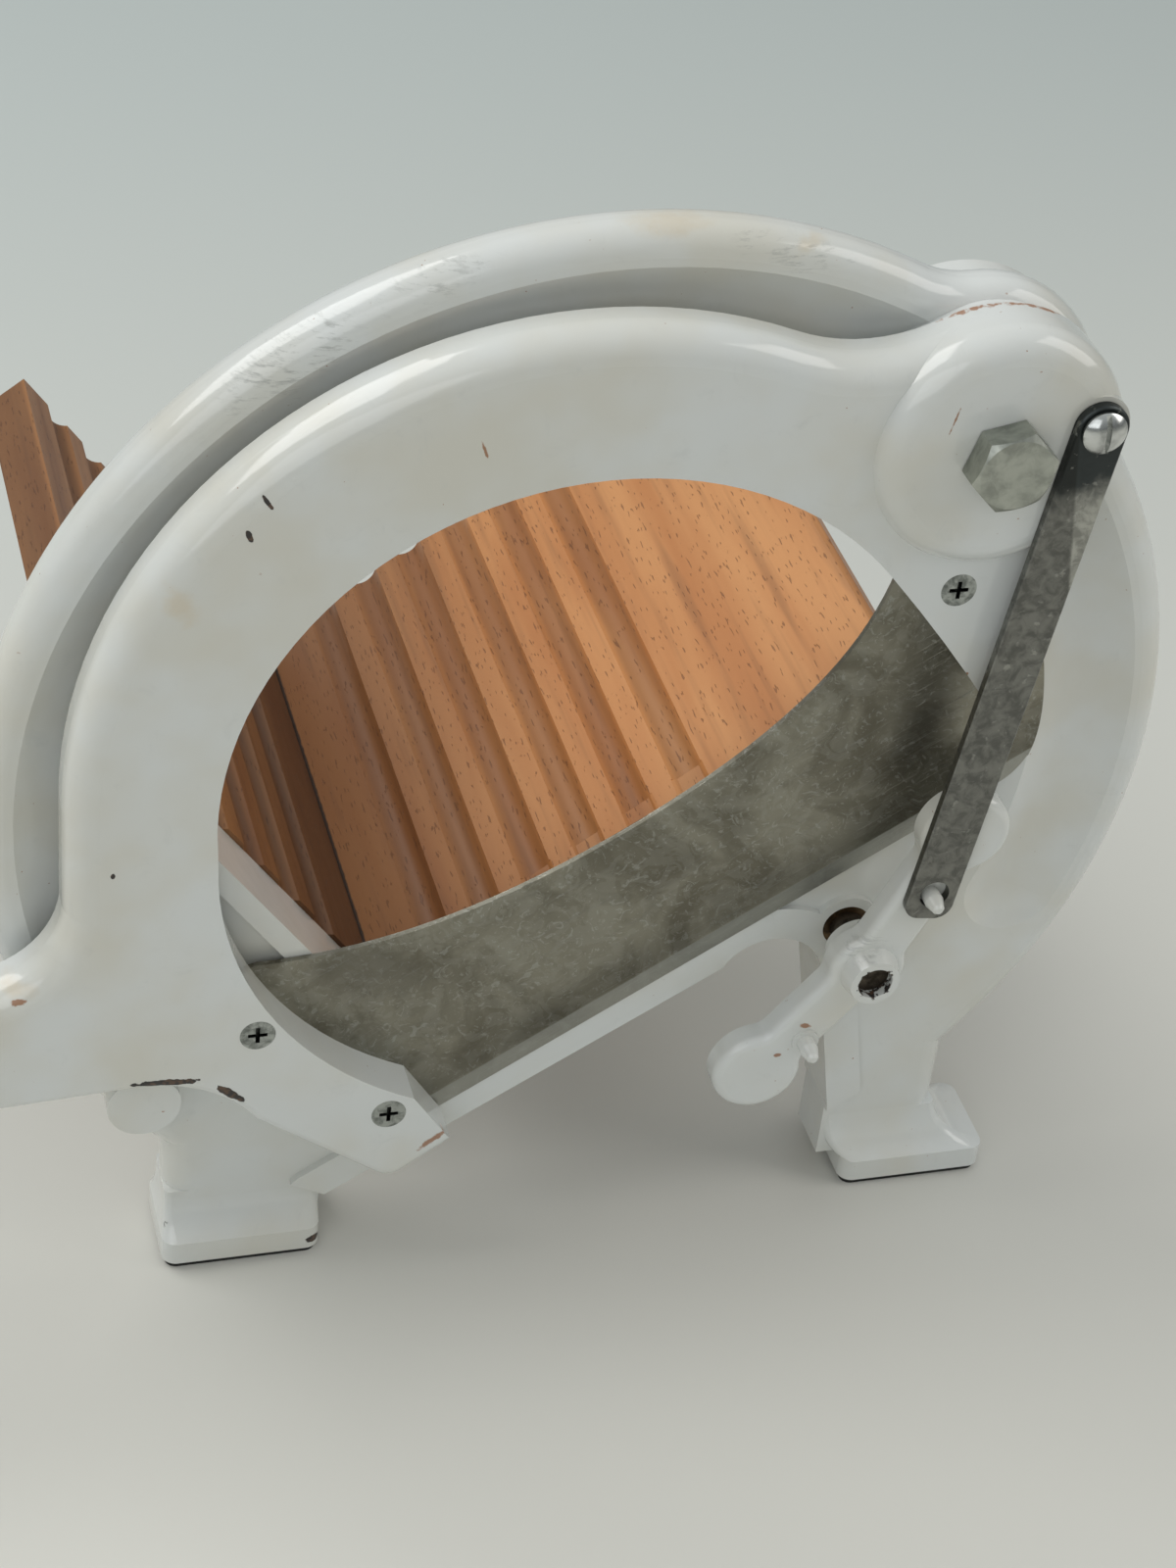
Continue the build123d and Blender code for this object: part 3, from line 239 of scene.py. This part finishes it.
# ---- colours ------------------------------------------------------------------------------
ENAMEL_WHITE = srgb(216, 219, 217)
ENAMEL_CREAM = srgb(210, 208, 197)
ENAMEL_GREY = srgb(184, 187, 185)
SCUFF_GREY = srgb(140, 142, 138)
STAIN_YELLOW = srgb(206, 186, 150)
RUST_BROWN = srgb(150, 96, 52)
# The chip colours also paint the rocker's hub bore dark, as painted shade.
CHIP_AND_SHADE_BLACK = srgb(40, 36, 34)
CHIP_AND_SHADE_BROWN = srgb(88, 66, 50)

BED_WOOD = (srgb(212, 150, 94), srgb(190, 124, 70), srgb(92, 55, 28))
# The fence's tones are the bed's beech painted darker, as painted shade on the fence.
FENCE_WOOD_SHADED = (srgb(160, 112, 68), srgb(128, 82, 46), srgb(70, 42, 24))
PORE_BROWN = srgb(92, 52, 26)
JOINT_BLACK = srgb(24, 16, 10)

ZINC_LIGHT = srgb(172, 176, 172)
ZINC_DARK = srgb(118, 122, 118)
RECESS_BLACK = srgb(24, 24, 22)

BLADE_LIGHT = srgb(146, 143, 130)
BLADE_DARK = srgb(118, 114, 101)
BLADE_FILM = srgb(176, 176, 168)
BLADE_BLOT = srgb(196, 197, 190)
BLADE_BAND = srgb(58, 57, 52)
BLADE_SHADE = srgb(52, 50, 46)
BLADE_TAIL = srgb(78, 74, 66)
BLADE_SCRATCH = srgb(190, 190, 184)
BLADE_BEVEL = srgb(188, 190, 186)

LINK_BLUED = srgb(66, 70, 70)
LINK_LIGHT = srgb(180, 180, 173)
LINK_DARK = srgb(144, 144, 138)
LINK_EDGE = srgb(48, 48, 46)
LINK_DENT = srgb(186, 186, 178)

RUBBER_BLACK = srgb(28, 28, 27)
RUBBER_DUST = srgb(70, 68, 64)

# The floor's far colour is darker: painted shade.
FLOOR_NEAR = srgb(213, 212, 205)
FLOOR_FAR = srgb(190, 198, 196)
WALL_COLOUR = srgb(150, 154, 154)
CEILING_COLOUR = srgb(236, 240, 240)

# ---- marks, each as centre, radii, and turn about Y in degrees ------------------------------
ARM_CHIPS = (
    ((-24.0, ARM_FRONT + 1.0, 78.6), (9.0, 5.0, 1.1), 3.0),
    ((-7.0, ARM_FRONT + 0.5, 72.4), (4.5, 4.0, 1.2), 42.0),
    ((-7.4, ARM_FRONT, 240.9), (0.7, 2.0, 1.9), -25.0),
    ((-3.6, ARM_FRONT, 249.6), (0.5, 2.0, 2.2), -35.0),
    ((-37.3, ARM_FRONT, 147.0), (0.6, 2.0, 0.9), 0.0),
    ((84.0, ARM_FRONT, 82.0), (0.6, 2.0, 0.6), 0.0),
)
ARM_RUST = (
    ((48.5, ARM_FRONT, 66.5), (1.2, 3.0, 3.4), 20.0),
    ((47.4, ARM_FRONT + 1.0, 48.0), (4.5, 4.0, 1.0), -38.0),
    ((156.2, -27.0, 262.5), (0.35, 4.0, 4.6), 14.0),
    ((187.9, -26.0, 217.1), (0.4, 3.0, 2.0), 20.0),
    ((171.0, -12.4, 281.5), (17.0, 1.6, 3.2), 0.0),
    ((-59.8, ARM_FRONT + 2.0, 109.4), (2.6, 4.0, 0.8), -12.0),
    ((45.4, ARM_FRONT, 259.8), (0.4, 2.0, 2.6), -20.0),
    ((174.1, ARM_FRONT, 186.2), (0.7, 2.0, 1.6), 30.0),
)
ARM_STAINS = (
    ((-22.3, ARM_FRONT, 223.2), (4.5, 6.0, 7.0), -35.0),
    ((140.4, -18.0, 227.9), (9.0, 8.0, 1.6), 38.0),
    ((-59.8, -20.0, 112.0), (7.0, 8.0, 3.0), 0.0),
)
FRAME_CHIPS = (
    ((-25.0, -12.5, 7.6), (2.2, 4.0, 2.6), 20.0),
    ((20.0, -14.0, 5.0), (3.2, 3.0, 1.2), 0.0),
    ((-21.0, -12.0, 14.0), (1.6, 3.0, 2.6), 30.0),
)
FRAME_RUST = (
    ((171.0, -11.5, 283.0), (20.0, 2.0, 3.0), 0.0),
    ((-10.5, 0.0, 121.0), (2.6, 9.0, 1.4), 0.0),
    ((3.0, 10.0, 105.0), (3.0, 3.0, 2.4), 37.0),
    ((20.0, 10.0, 92.0), (3.6, 3.0, 2.6), 37.0),
)
FRAME_STAINS = (
    ((89.7, -2.0, 303.0), (12.0, 8.0, 3.0), 0.0),
    ((125.7, -6.0, 298.9), (9.0, 6.0, 2.6), -20.0),
)
FRAME_SCUFFS = (
    ((5.0, PLATE_FRONT, 277.0), (26.0, 7.0, 11.0), -42.0),
    ((37.0, PLATE_FRONT, 296.0), (26.0, 7.0, 7.0), -26.0),
    ((-8.4, PLATE_FRONT, 232.3), (24.0, 7.0, 8.0), -60.0),
    ((120.0, PLATE_FRONT, 298.0), (22.0, 7.0, 6.0), 16.0),
)
ROCKER_CHIPS_AND_HUB_SHADE = (
    ((135.2, ROCKER_FRONT + 0.5, 80.8), (7.5, 4.0, 1.9), -55.0),
    # Painted shade: this mark paints the hub's bore black, where the hole lies in shade.
    ((ROCKER_AXIS[0], ROCKER_FRONT - 3.0, ROCKER_AXIS[1]), (4.9, 6.0, 4.9), 0.0),
)
ROCKER_RUST = (
    ((146.0, ROCKER_FRONT, 78.0), (1.6, 2.0, 1.0), 20.0),
    ((139.5, ROCKER_FRONT, 68.5), (1.2, 2.0, 0.7), 0.0),
)
ROCKER_SCUFFS = (((158.0, ROCKER_FRONT - 1.0, 104.0), (9.0, 6.0, 6.0), 0.0),)
# Painted shade: a dark patch on the blade near the link.
BLADE_SHADE_MARK = ((171.0, -11.0, 158.0), (24.0, 30.0, 8.0), -62.0)
BLADE_TAIL_MARK = ((30.0, -11.0, 98.0), (26.0, 30.0, 12.0), 20.0)
TROUGH_JOINT_MARK = ((TROUGH_CORNER[0], 100.0, TROUGH_CORNER[1]), (0.9, 400.0, 0.9), 0.0)


# ---- enamel -------------------------------------------------------------------------------
def enamel(name, chips_and_shade=(), rust=(), stains=(), scuffs=()):
    """Glossy white stove enamel with faint grime and rust specks, and with its own marks.

    A chip shows the black base coat or bare iron, and sits lower than the enamel. A chip mark can
    also be painted shade: the rocker's hub mark paints the hub's bore black."""
    paint = Paint(name)
    cloud = paint.step(paint.noise(45.0), 0.35, 0.75)
    colour = paint.mix(cloud, ENAMEL_WHITE, ENAMEL_CREAM)
    grime = paint.step(paint.noise(9.0, detail=6.0, rough=0.7, warp=0.6), 0.56, 0.80)
    colour = paint.over(colour, grime, 0.22, ENAMEL_GREY)
    roughness = paint.blend(grime, 0.13, 0.26)
    specks = paint.step(paint.noise(1.3, detail=1.0, rough=0.4), 0.775, 0.80)
    sparse = paint.step(paint.noise(16.0, detail=2.0), 0.52, 0.60)
    colour = paint.over(colour, paint.math("MULTIPLY", specks, sparse), 0.75, RUST_BROWN)
    normal = paint.bump(paint.noise(7.0, detail=2.0, rough=0.4), 0.10)
    if scuffs:
        streak = paint.step(paint.noise((5.0, 5.0, 0.9), detail=5.0, rough=0.7), 0.50, 0.66)
        area = paint.near_any(scuffs, ragged=0.9, soft=0.7, grain=9.0)
        dull = paint.math("MULTIPLY", streak, area)
        colour = paint.over(colour, dull, 0.55, SCUFF_GREY)
        roughness = paint.raised(roughness, dull, 0.3)
    if stains:
        area = paint.near_any(stains, ragged=0.6, soft=0.8, grain=5.0)
        colour = paint.over(colour, area, 0.38, STAIN_YELLOW)
    if rust:
        area = paint.near_any(rust, ragged=0.9, soft=0.35, grain=2.0)
        colour = paint.over(colour, area, 0.85, RUST_BROWN)
        roughness = paint.raised(roughness, area, 0.4)
    if chips_and_shade:
        area = paint.near_any(chips_and_shade, ragged=0.8, soft=0.08, grain=2.2)
        # Chip colour, which on the rocker's hub mark is painted shade.
        chip_and_shade_colour = paint.mix(paint.step(paint.noise(1.4), 0.45, 0.65), CHIP_AND_SHADE_BLACK, CHIP_AND_SHADE_BROWN)
        colour = paint.mix(area, colour, chip_and_shade_colour)
        roughness = paint.raised(roughness, area, 0.5)
        normal = paint.bump(paint.math("SUBTRACT", 1.0, area), 0.30, normal)
    paint.set("Base Color", colour)
    paint.set("Roughness", roughness)
    paint.set("Normal", normal)
    paint.set("Coat Weight", 0.35)
    paint.set("Coat Roughness", 0.06)
    return paint.material


# ---- wood ---------------------------------------------------------------------------------
def beech(name, tones, shadow_reach):
    """Oiled beech with its grain along Y: streaks and short dark pore dashes.

    It has painted shade in the grooves, and a painted shadow that darkens it towards the trough's
    corner from the given reach on."""
    light, middle, dark = tones
    paint = Paint(name)
    grain = paint.turned((TROUGH_CORNER[0], 0.0, TROUGH_CORNER[1]), -TROUGH_TILT)

    def fibres(across, length, detail, rough, warp=0.0):
        """Noise in cells of a width across the grain and a length along it."""
        cells = paint.vector_math("DIVIDE", grain, (across, length, across))
        return paint.field(cells, detail, rough, warp)

    broad = fibres(15.0, 150.0, detail=3.0, rough=0.5, warp=0.35)
    colour = paint.mix(paint.step(broad, 0.30, 0.72), light, middle)
    streak = fibres(4.5, 110.0, detail=3.0, rough=0.5, warp=0.2)
    colour = paint.over(colour, paint.step(streak, 0.50, 0.72), 0.30, dark)
    pores = paint.step(fibres(0.6, 5.0, detail=1.0, rough=0.4), 0.675, 0.70)
    colour = paint.over(colour, pores, 0.55, PORE_BROWN)
    parts = paint.axes(grain)
    along, up = parts["X"], parts["Z"]
    # Painted shade: the beech is darkened in the grooves, where shade falls.
    sunk = paint.step(paint.math("MINIMUM", along, up), -0.2, -1.7)
    colour = paint.over(colour, sunk, 0.42, dark)
    # Painted shadow: the beech darkens towards the trough's corner, where the ring's shadow
    # falls.
    corner_shadow = paint.step(paint.math("MAXIMUM", along, up), shadow_reach, 8.0)
    colour = paint.over(colour, corner_shadow, 0.72, dark)
    joint = paint.near(TROUGH_JOINT_MARK, ragged=0.4, soft=0.5, grain=3.0)
    colour = paint.over(colour, joint, 0.9, JOINT_BLACK)
    paint.set("Base Color", colour)
    height = paint.math("SUBTRACT", paint.math("MULTIPLY", streak, 0.5), pores)
    paint.set("Normal", paint.bump(height, 0.12))
    paint.set("Roughness", paint.blend(streak, 0.34, 0.55))
    return paint.material


# ---- metals and rubber --------------------------------------------------------------------
def plain_metal(name, light, dark, smooth, dull, grain=3.0, depth=0.03):
    """Turned, cast or plated metal with cloudy tarnish and faint pitting."""
    paint = Paint(name, metallic=1.0)
    cloud = paint.step(paint.noise(grain, detail=4.0, rough=0.6, warp=0.4), 0.35, 0.68)
    paint.set("Base Color", paint.mix(cloud, light, dark))
    paint.set("Roughness", paint.blend(cloud, smooth, dull))
    pits = paint.noise(grain * 0.4, detail=4.0, rough=0.6)
    paint.set("Normal", paint.bump(pits, depth))
    return paint.material


def screw_zinc(name):
    """Zinc-plated steel, darkened almost to black below the arm's front face, in the drives'
    recesses.
    """
    paint = Paint(name, metallic=1.0)
    cloud = paint.step(paint.noise(2.2, detail=4.0, rough=0.6, warp=0.4), 0.35, 0.68)
    colour = paint.mix(cloud, ZINC_LIGHT, ZINC_DARK)
    sunk = paint.step(paint.axes(paint.place)["Y"], ARM_FRONT + 0.15, ARM_FRONT + 0.6)
    paint.set("Base Color", paint.over(colour, sunk, 0.93, RECESS_BLACK))
    paint.set("Roughness", paint.blend(cloud, 0.28, 0.5))
    paint.set("Normal", paint.bump(paint.noise(0.8, detail=4.0, rough=0.6), 0.03))
    return paint.material


def blade_steel(name):
    """Old rolled blade steel: pale water stains, a dark band above a bright bevelled edge."""
    paint = Paint(name, metallic=1.0)
    (x0, z0), (x1, z1) = BLADE_EDGE
    local = paint.turned((x0, 0.0, z0), -degrees(atan2(z1 - z0, x1 - x0)))
    above = paint.axes(local)["Z"]
    cloud = paint.step(paint.noise(22.0, detail=5.0, rough=0.6, warp=0.8), 0.35, 0.70)
    colour = paint.mix(cloud, BLADE_LIGHT, BLADE_DARK)
    film = paint.step(paint.noise(9.0, detail=6.0, rough=0.65, warp=1.6), 0.50, 0.53)
    colour = paint.over(colour, film, 0.16, BLADE_FILM)
    blots = paint.step(paint.noise(3.4, detail=5.0, rough=0.62, warp=2.2), 0.585, 0.615)
    colour = paint.over(colour, blots, 0.34, BLADE_BLOT)
    band = paint.math("MULTIPLY", paint.step(above, 22.0, 7.0), paint.step(above, 3.5, 7.5))
    ragged = paint.blend(paint.noise(14.0, detail=4.0), 0.35, 1.0)
    colour = paint.over(colour, paint.math("MULTIPLY", band, ragged), 0.55, BLADE_BAND)
    # Painted shade: a soft dark patch on the blade near the link, where shade falls.
    shade = paint.near(BLADE_SHADE_MARK, ragged=0.4, soft=0.9, grain=12.0)
    colour = paint.over(colour, shade, 0.45, BLADE_SHADE)
    tail = paint.near(BLADE_TAIL_MARK, ragged=0.5, soft=0.8, grain=9.0)
    colour = paint.over(colour, tail, 0.45, BLADE_TAIL)
    long_cells = paint.vector_math("DIVIDE", local, (42.0, 1.0, 0.45))
    scratch = paint.step(paint.field(long_cells, detail=3.0, rough=0.6), 0.58, 0.74)
    colour = paint.over(colour, scratch, 0.14, BLADE_SCRATCH)
    bevel = paint.step(above, 6.4, 5.8)
    colour = paint.over(colour, bevel, 0.5, BLADE_BEVEL)
    paint.set("Base Color", colour)
    paint.set("Roughness", paint.raised(paint.blend(cloud, 0.36, 0.5), blots, 0.12))
    height = paint.math("ADD", scratch, paint.noise(30.0, detail=2.0))
    paint.set("Normal", paint.bump(height, 0.05))
    return paint.material


def link_steel(name):
    """Flat blued steel: dark at the crank, worn grey with pale dents down the rest."""
    paint = Paint(name, metallic=1.0)
    run_x, run_z = (LINK_LOWER_PIN[i] - CRANK_PIN[i] for i in range(2))
    turn = degrees(atan2(run_x, -run_z))
    parts = paint.axes(paint.turned((CRANK_PIN[0], 0.0, CRANK_PIN[1]), turn))
    down = paint.math("MULTIPLY", parts["Z"], -1.0)
    fade = paint.raised(down, paint.noise(8.0, detail=4.0), 16.0)
    cloud = paint.step(paint.noise(4.0, detail=5.0, rough=0.65, warp=0.6), 0.35, 0.65)
    worn = paint.mix(cloud, LINK_LIGHT, LINK_DARK)
    colour = paint.mix(paint.step(fade, 20.0, 30.0), LINK_BLUED, worn)
    edge = paint.step(paint.math("ABSOLUTE", parts["X"]), 5.6, 6.5)
    colour = paint.over(colour, edge, 0.55, LINK_EDGE)
    dents = paint.step(paint.noise(3.2, rough=0.5), 0.62, 0.70)
    colour = paint.over(colour, dents, 0.35, LINK_DENT)
    paint.set("Base Color", colour)
    paint.set("Roughness", paint.blend(cloud, 0.33, 0.5))
    height = paint.math("ADD", dents, paint.noise(6.0, detail=4.0))
    paint.set("Normal", paint.bump(height, 0.12))
    return paint.material


def rubber(name):
    """Black moulded rubber under a little dust."""
    paint = Paint(name)
    dust = paint.step(paint.noise(6.0, detail=5.0, rough=0.6), 0.45, 0.75)
    paint.set("Base Color", paint.over(RUBBER_BLACK, dust, 0.4, RUBBER_DUST))
    paint.set("Roughness", 0.75)
    paint.set("Normal", paint.bump(paint.noise(0.7), 0.05))
    return paint.material


# ---- the nodes' materials -----------------------------------------------------------------
FINISHES = (
    (
        enamel("frame_enamel", FRAME_CHIPS, FRAME_RUST, FRAME_STAINS, FRAME_SCUFFS),
        ("frame_casting",),
    ),
    (enamel("arm_enamel", ARM_CHIPS, ARM_RUST, ARM_STAINS), ("cutting_arm",)),
    (enamel("rocker_enamel", ROCKER_CHIPS_AND_HUB_SHADE, ROCKER_RUST, (), ROCKER_SCUFFS), ("rocker_lever",)),
    (enamel("stand_enamel"), ("rear_stand", "drive_pins")),
    (beech("bed_beech", BED_WOOD, 92.0), ("bed_board",)),
    # A darker beech, painted for the shade on the fence.
    (beech("fence_beech_shaded", FENCE_WOOD_SHADED, 70.0), ("fence_board",)),
    (screw_zinc("screw_zinc"), ("blade_screws",)),
    (blade_steel("blade_steel"), ("slicing_blade",)),
    (link_steel("link_steel"), ("feed_link",)),
    (rubber("rubber"), ("front_pads", "rear_pads")),
    (
        plain_metal("bolt_zinc", srgb(178, 181, 172), srgb(150, 153, 145), 0.3, 0.42, 6.0, 0.02),
        ("pivot_bolt", "pivot_lock_washer", "pivot_nut"),
    ),
    (
        plain_metal("nickel", srgb(206, 208, 206), srgb(160, 162, 160), 0.14, 0.3, 5.0, 0.02),
        ("crank_screw",),
    ),
    (
        plain_metal("bronze", srgb(104, 84, 62), srgb(70, 58, 46), 0.4, 0.6),
        ("front_bush", "rear_bush"),
    ),
    (
        plain_metal("dark_steel", srgb(96, 88, 78), srgb(60, 54, 47), 0.4, 0.6),
        ("rocker_shaft", "feed_spindle"),
    ),
    (
        plain_metal("turned_steel", srgb(150, 150, 146), srgb(104, 104, 100), 0.3, 0.5),
        (
            "pivot_sleeve",
            "rocker_cross_pin",
            "clutch_drum",
            "clutch_cover",
            "clutch_cam",
            "clutch_rollers",
            "spindle_collar",
            "front_board_screws",
            "rear_board_screws",
            "corner_screws",
        ),
    ),
)
for material, node_names in FINISHES:
    for node_name in node_names:
        mesh = frame["nodes"][node_name].data
        mesh.materials.clear()
        mesh.materials.append(material)


# ---- pieces and stage ---------------------------------------------------------------------
def add_object(name, data):
    """An object in the scene, made from a mesh, a lamp or a camera."""
    made = bpy.data.objects.new(name, data)
    bpy.context.scene.collection.objects.link(made)
    return made


def rib_height(along):
    """The bed's surface at a place along it, 0 on the ribs and negative in the grooves."""
    groove_radius = (GROOVE_WIDTH**2 / 4 + GROOVE_DEPTH**2) / (2 * GROOVE_DEPTH)
    for i in range(GROOVE_COUNT):
        off = along - GROOVE_START - i * GROOVE_PITCH
        if abs(off) < GROOVE_WIDTH / 2:
            return groove_radius - GROOVE_DEPTH - sqrt(groove_radius**2 - off**2)
    return 0.0


def add_bed_nose():
    """A thin tongue that carries the bed's ribs over the lip to the blade.

    Its cross-section has four corners, at steps along the bed."""
    turn = radians(TROUGH_TILT)
    under = NOSE_SEAT - LIP_DROP
    least = NOSE_LEAST - LIP_DROP
    steps = round(BED_WIDTH / NOSE_STEP)
    points, faces = [], []
    for i in range(steps + 1):
        along = i * BED_WIDTH / steps
        top = max(rib_height(along), least)
        for y, up in ((NOSE_FRONT, top), (LIP_BACK, top), (LIP_BACK, under), (NOSE_FRONT, under)):
            x = TROUGH_CORNER[0] + along * cos(turn) - up * sin(turn)
            z = TROUGH_CORNER[1] + along * sin(turn) + up * cos(turn)
            points.append((x * MM, y * MM, z * MM))
    for i in range(steps):
        here, there = 4 * i, 4 * (i + 1)
        for a in range(4):
            b = (a + 1) % 4
            faces.append((here + a, there + a, there + b, here + b))
    last = 4 * steps
    faces += [(0, 1, 2, 3), (last + 3, last + 2, last + 1, last)]
    data = bpy.data.meshes.new("bed_nose")
    data.from_pydata(points, [], faces)
    data.materials.append(bpy.data.materials["bed_beech"])
    nose = add_object("bed_nose", data)
    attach(nose, "root")


def aim(heading, elevation, roll):
    """The turn that looks along a heading from +Y towards +X, up by elevation, then rolled."""
    heading, elevation, roll = radians(heading), radians(elevation), radians(roll)
    forward = Vector(
        (sin(heading) * cos(elevation), cos(heading) * cos(elevation), sin(elevation))
    )
    level = Vector((cos(heading), -sin(heading), 0.0))
    upright = level.cross(forward)
    right = level * cos(roll) + upright * sin(roll)
    up = right.cross(forward)
    return Matrix((right, up, -forward)).transposed().to_4x4()


def add_camera():
    """The camera at the photograph's viewpoint."""
    data = bpy.data.cameras.new("camera")
    data.lens = CAMERA_LENS
    data.sensor_width = SENSOR_WIDTH
    camera = add_object("camera", data)
    turn = aim(CAMERA_HEADING, CAMERA_ELEVATION, CAMERA_ROLL)
    camera.matrix_world = Matrix.Translation(Vector(CAMERA_PLACE) * MM) @ turn
    bpy.context.scene.camera = camera


def add_floor():
    """A pale floor that turns darker and cooler with distance, as painted shade where less light
    falls.
    """
    half = FLOOR_HALF * MM
    corners = [(-half, -half, 0), (half, -half, 0), (half, half, 0), (-half, half, 0)]
    data = bpy.data.meshes.new("floor")
    data.from_pydata(corners, [], [(0, 1, 2, 3)])
    paint = Paint("floor_paint")
    # Painted shade: the floor darkens and cools towards the far side.
    away = paint.step(paint.axes(paint.place)["Y"], FLOOR_NEAR_Y, FLOOR_FAR_Y)
    paint.set("Base Color", paint.mix(away, FLOOR_NEAR, FLOOR_FAR))
    paint.set("Roughness", 0.55)
    paint.set("Normal", paint.bump(paint.noise(40.0), 0.05))
    data.materials.append(paint.material)
    add_object("floor", data)


def add_lamp(name, place, size, power, colour):
    """A soft rectangular lamp that looks from its place to the object's middle."""
    data = bpy.data.lights.new(name, "AREA")
    data.shape = "RECTANGLE"
    data.size, data.size_y = (part * MM for part in size)
    data.energy = power
    data.color = colour
    lamp = add_object(name, data)
    lamp.location = Vector(place) * MM
    lamp.rotation_mode = "QUATERNION"
    view = Vector(OBJECT_MIDDLE) - Vector(place)
    lamp.rotation_quaternion = view.to_track_quat("-Z", "Y")


def add_world():
    """A room whose walls are dim and whose ceiling is bright."""
    world = bpy.data.worlds.new("room")
    world.use_nodes = True
    nodes, links = world.node_tree.nodes, world.node_tree.links
    direction = nodes.new("ShaderNodeTexCoord").outputs["Generated"]
    split = nodes.new("ShaderNodeSeparateXYZ")
    ramp = nodes.new("ShaderNodeValToRGB")
    low, high = ramp.color_ramp.elements
    low.position, high.position = 0.0, WORLD_BRIGHT_FROM
    low.color, high.color = WALL_COLOUR, CEILING_COLOUR
    background = nodes["Background"]
    background.inputs["Strength"].default_value = WORLD_STRENGTH
    links.new(direction, split.inputs[0])
    links.new(split.outputs["Z"], ramp.inputs["Fac"])
    links.new(ramp.outputs["Color"], background.inputs["Color"])
    bpy.context.scene.world = world


add_bed_nose()
add_camera()
add_floor()
add_world()
for lamp_facts in LAMPS:
    add_lamp(*lamp_facts)
bpy.context.scene.view_settings.view_transform = "Standard"
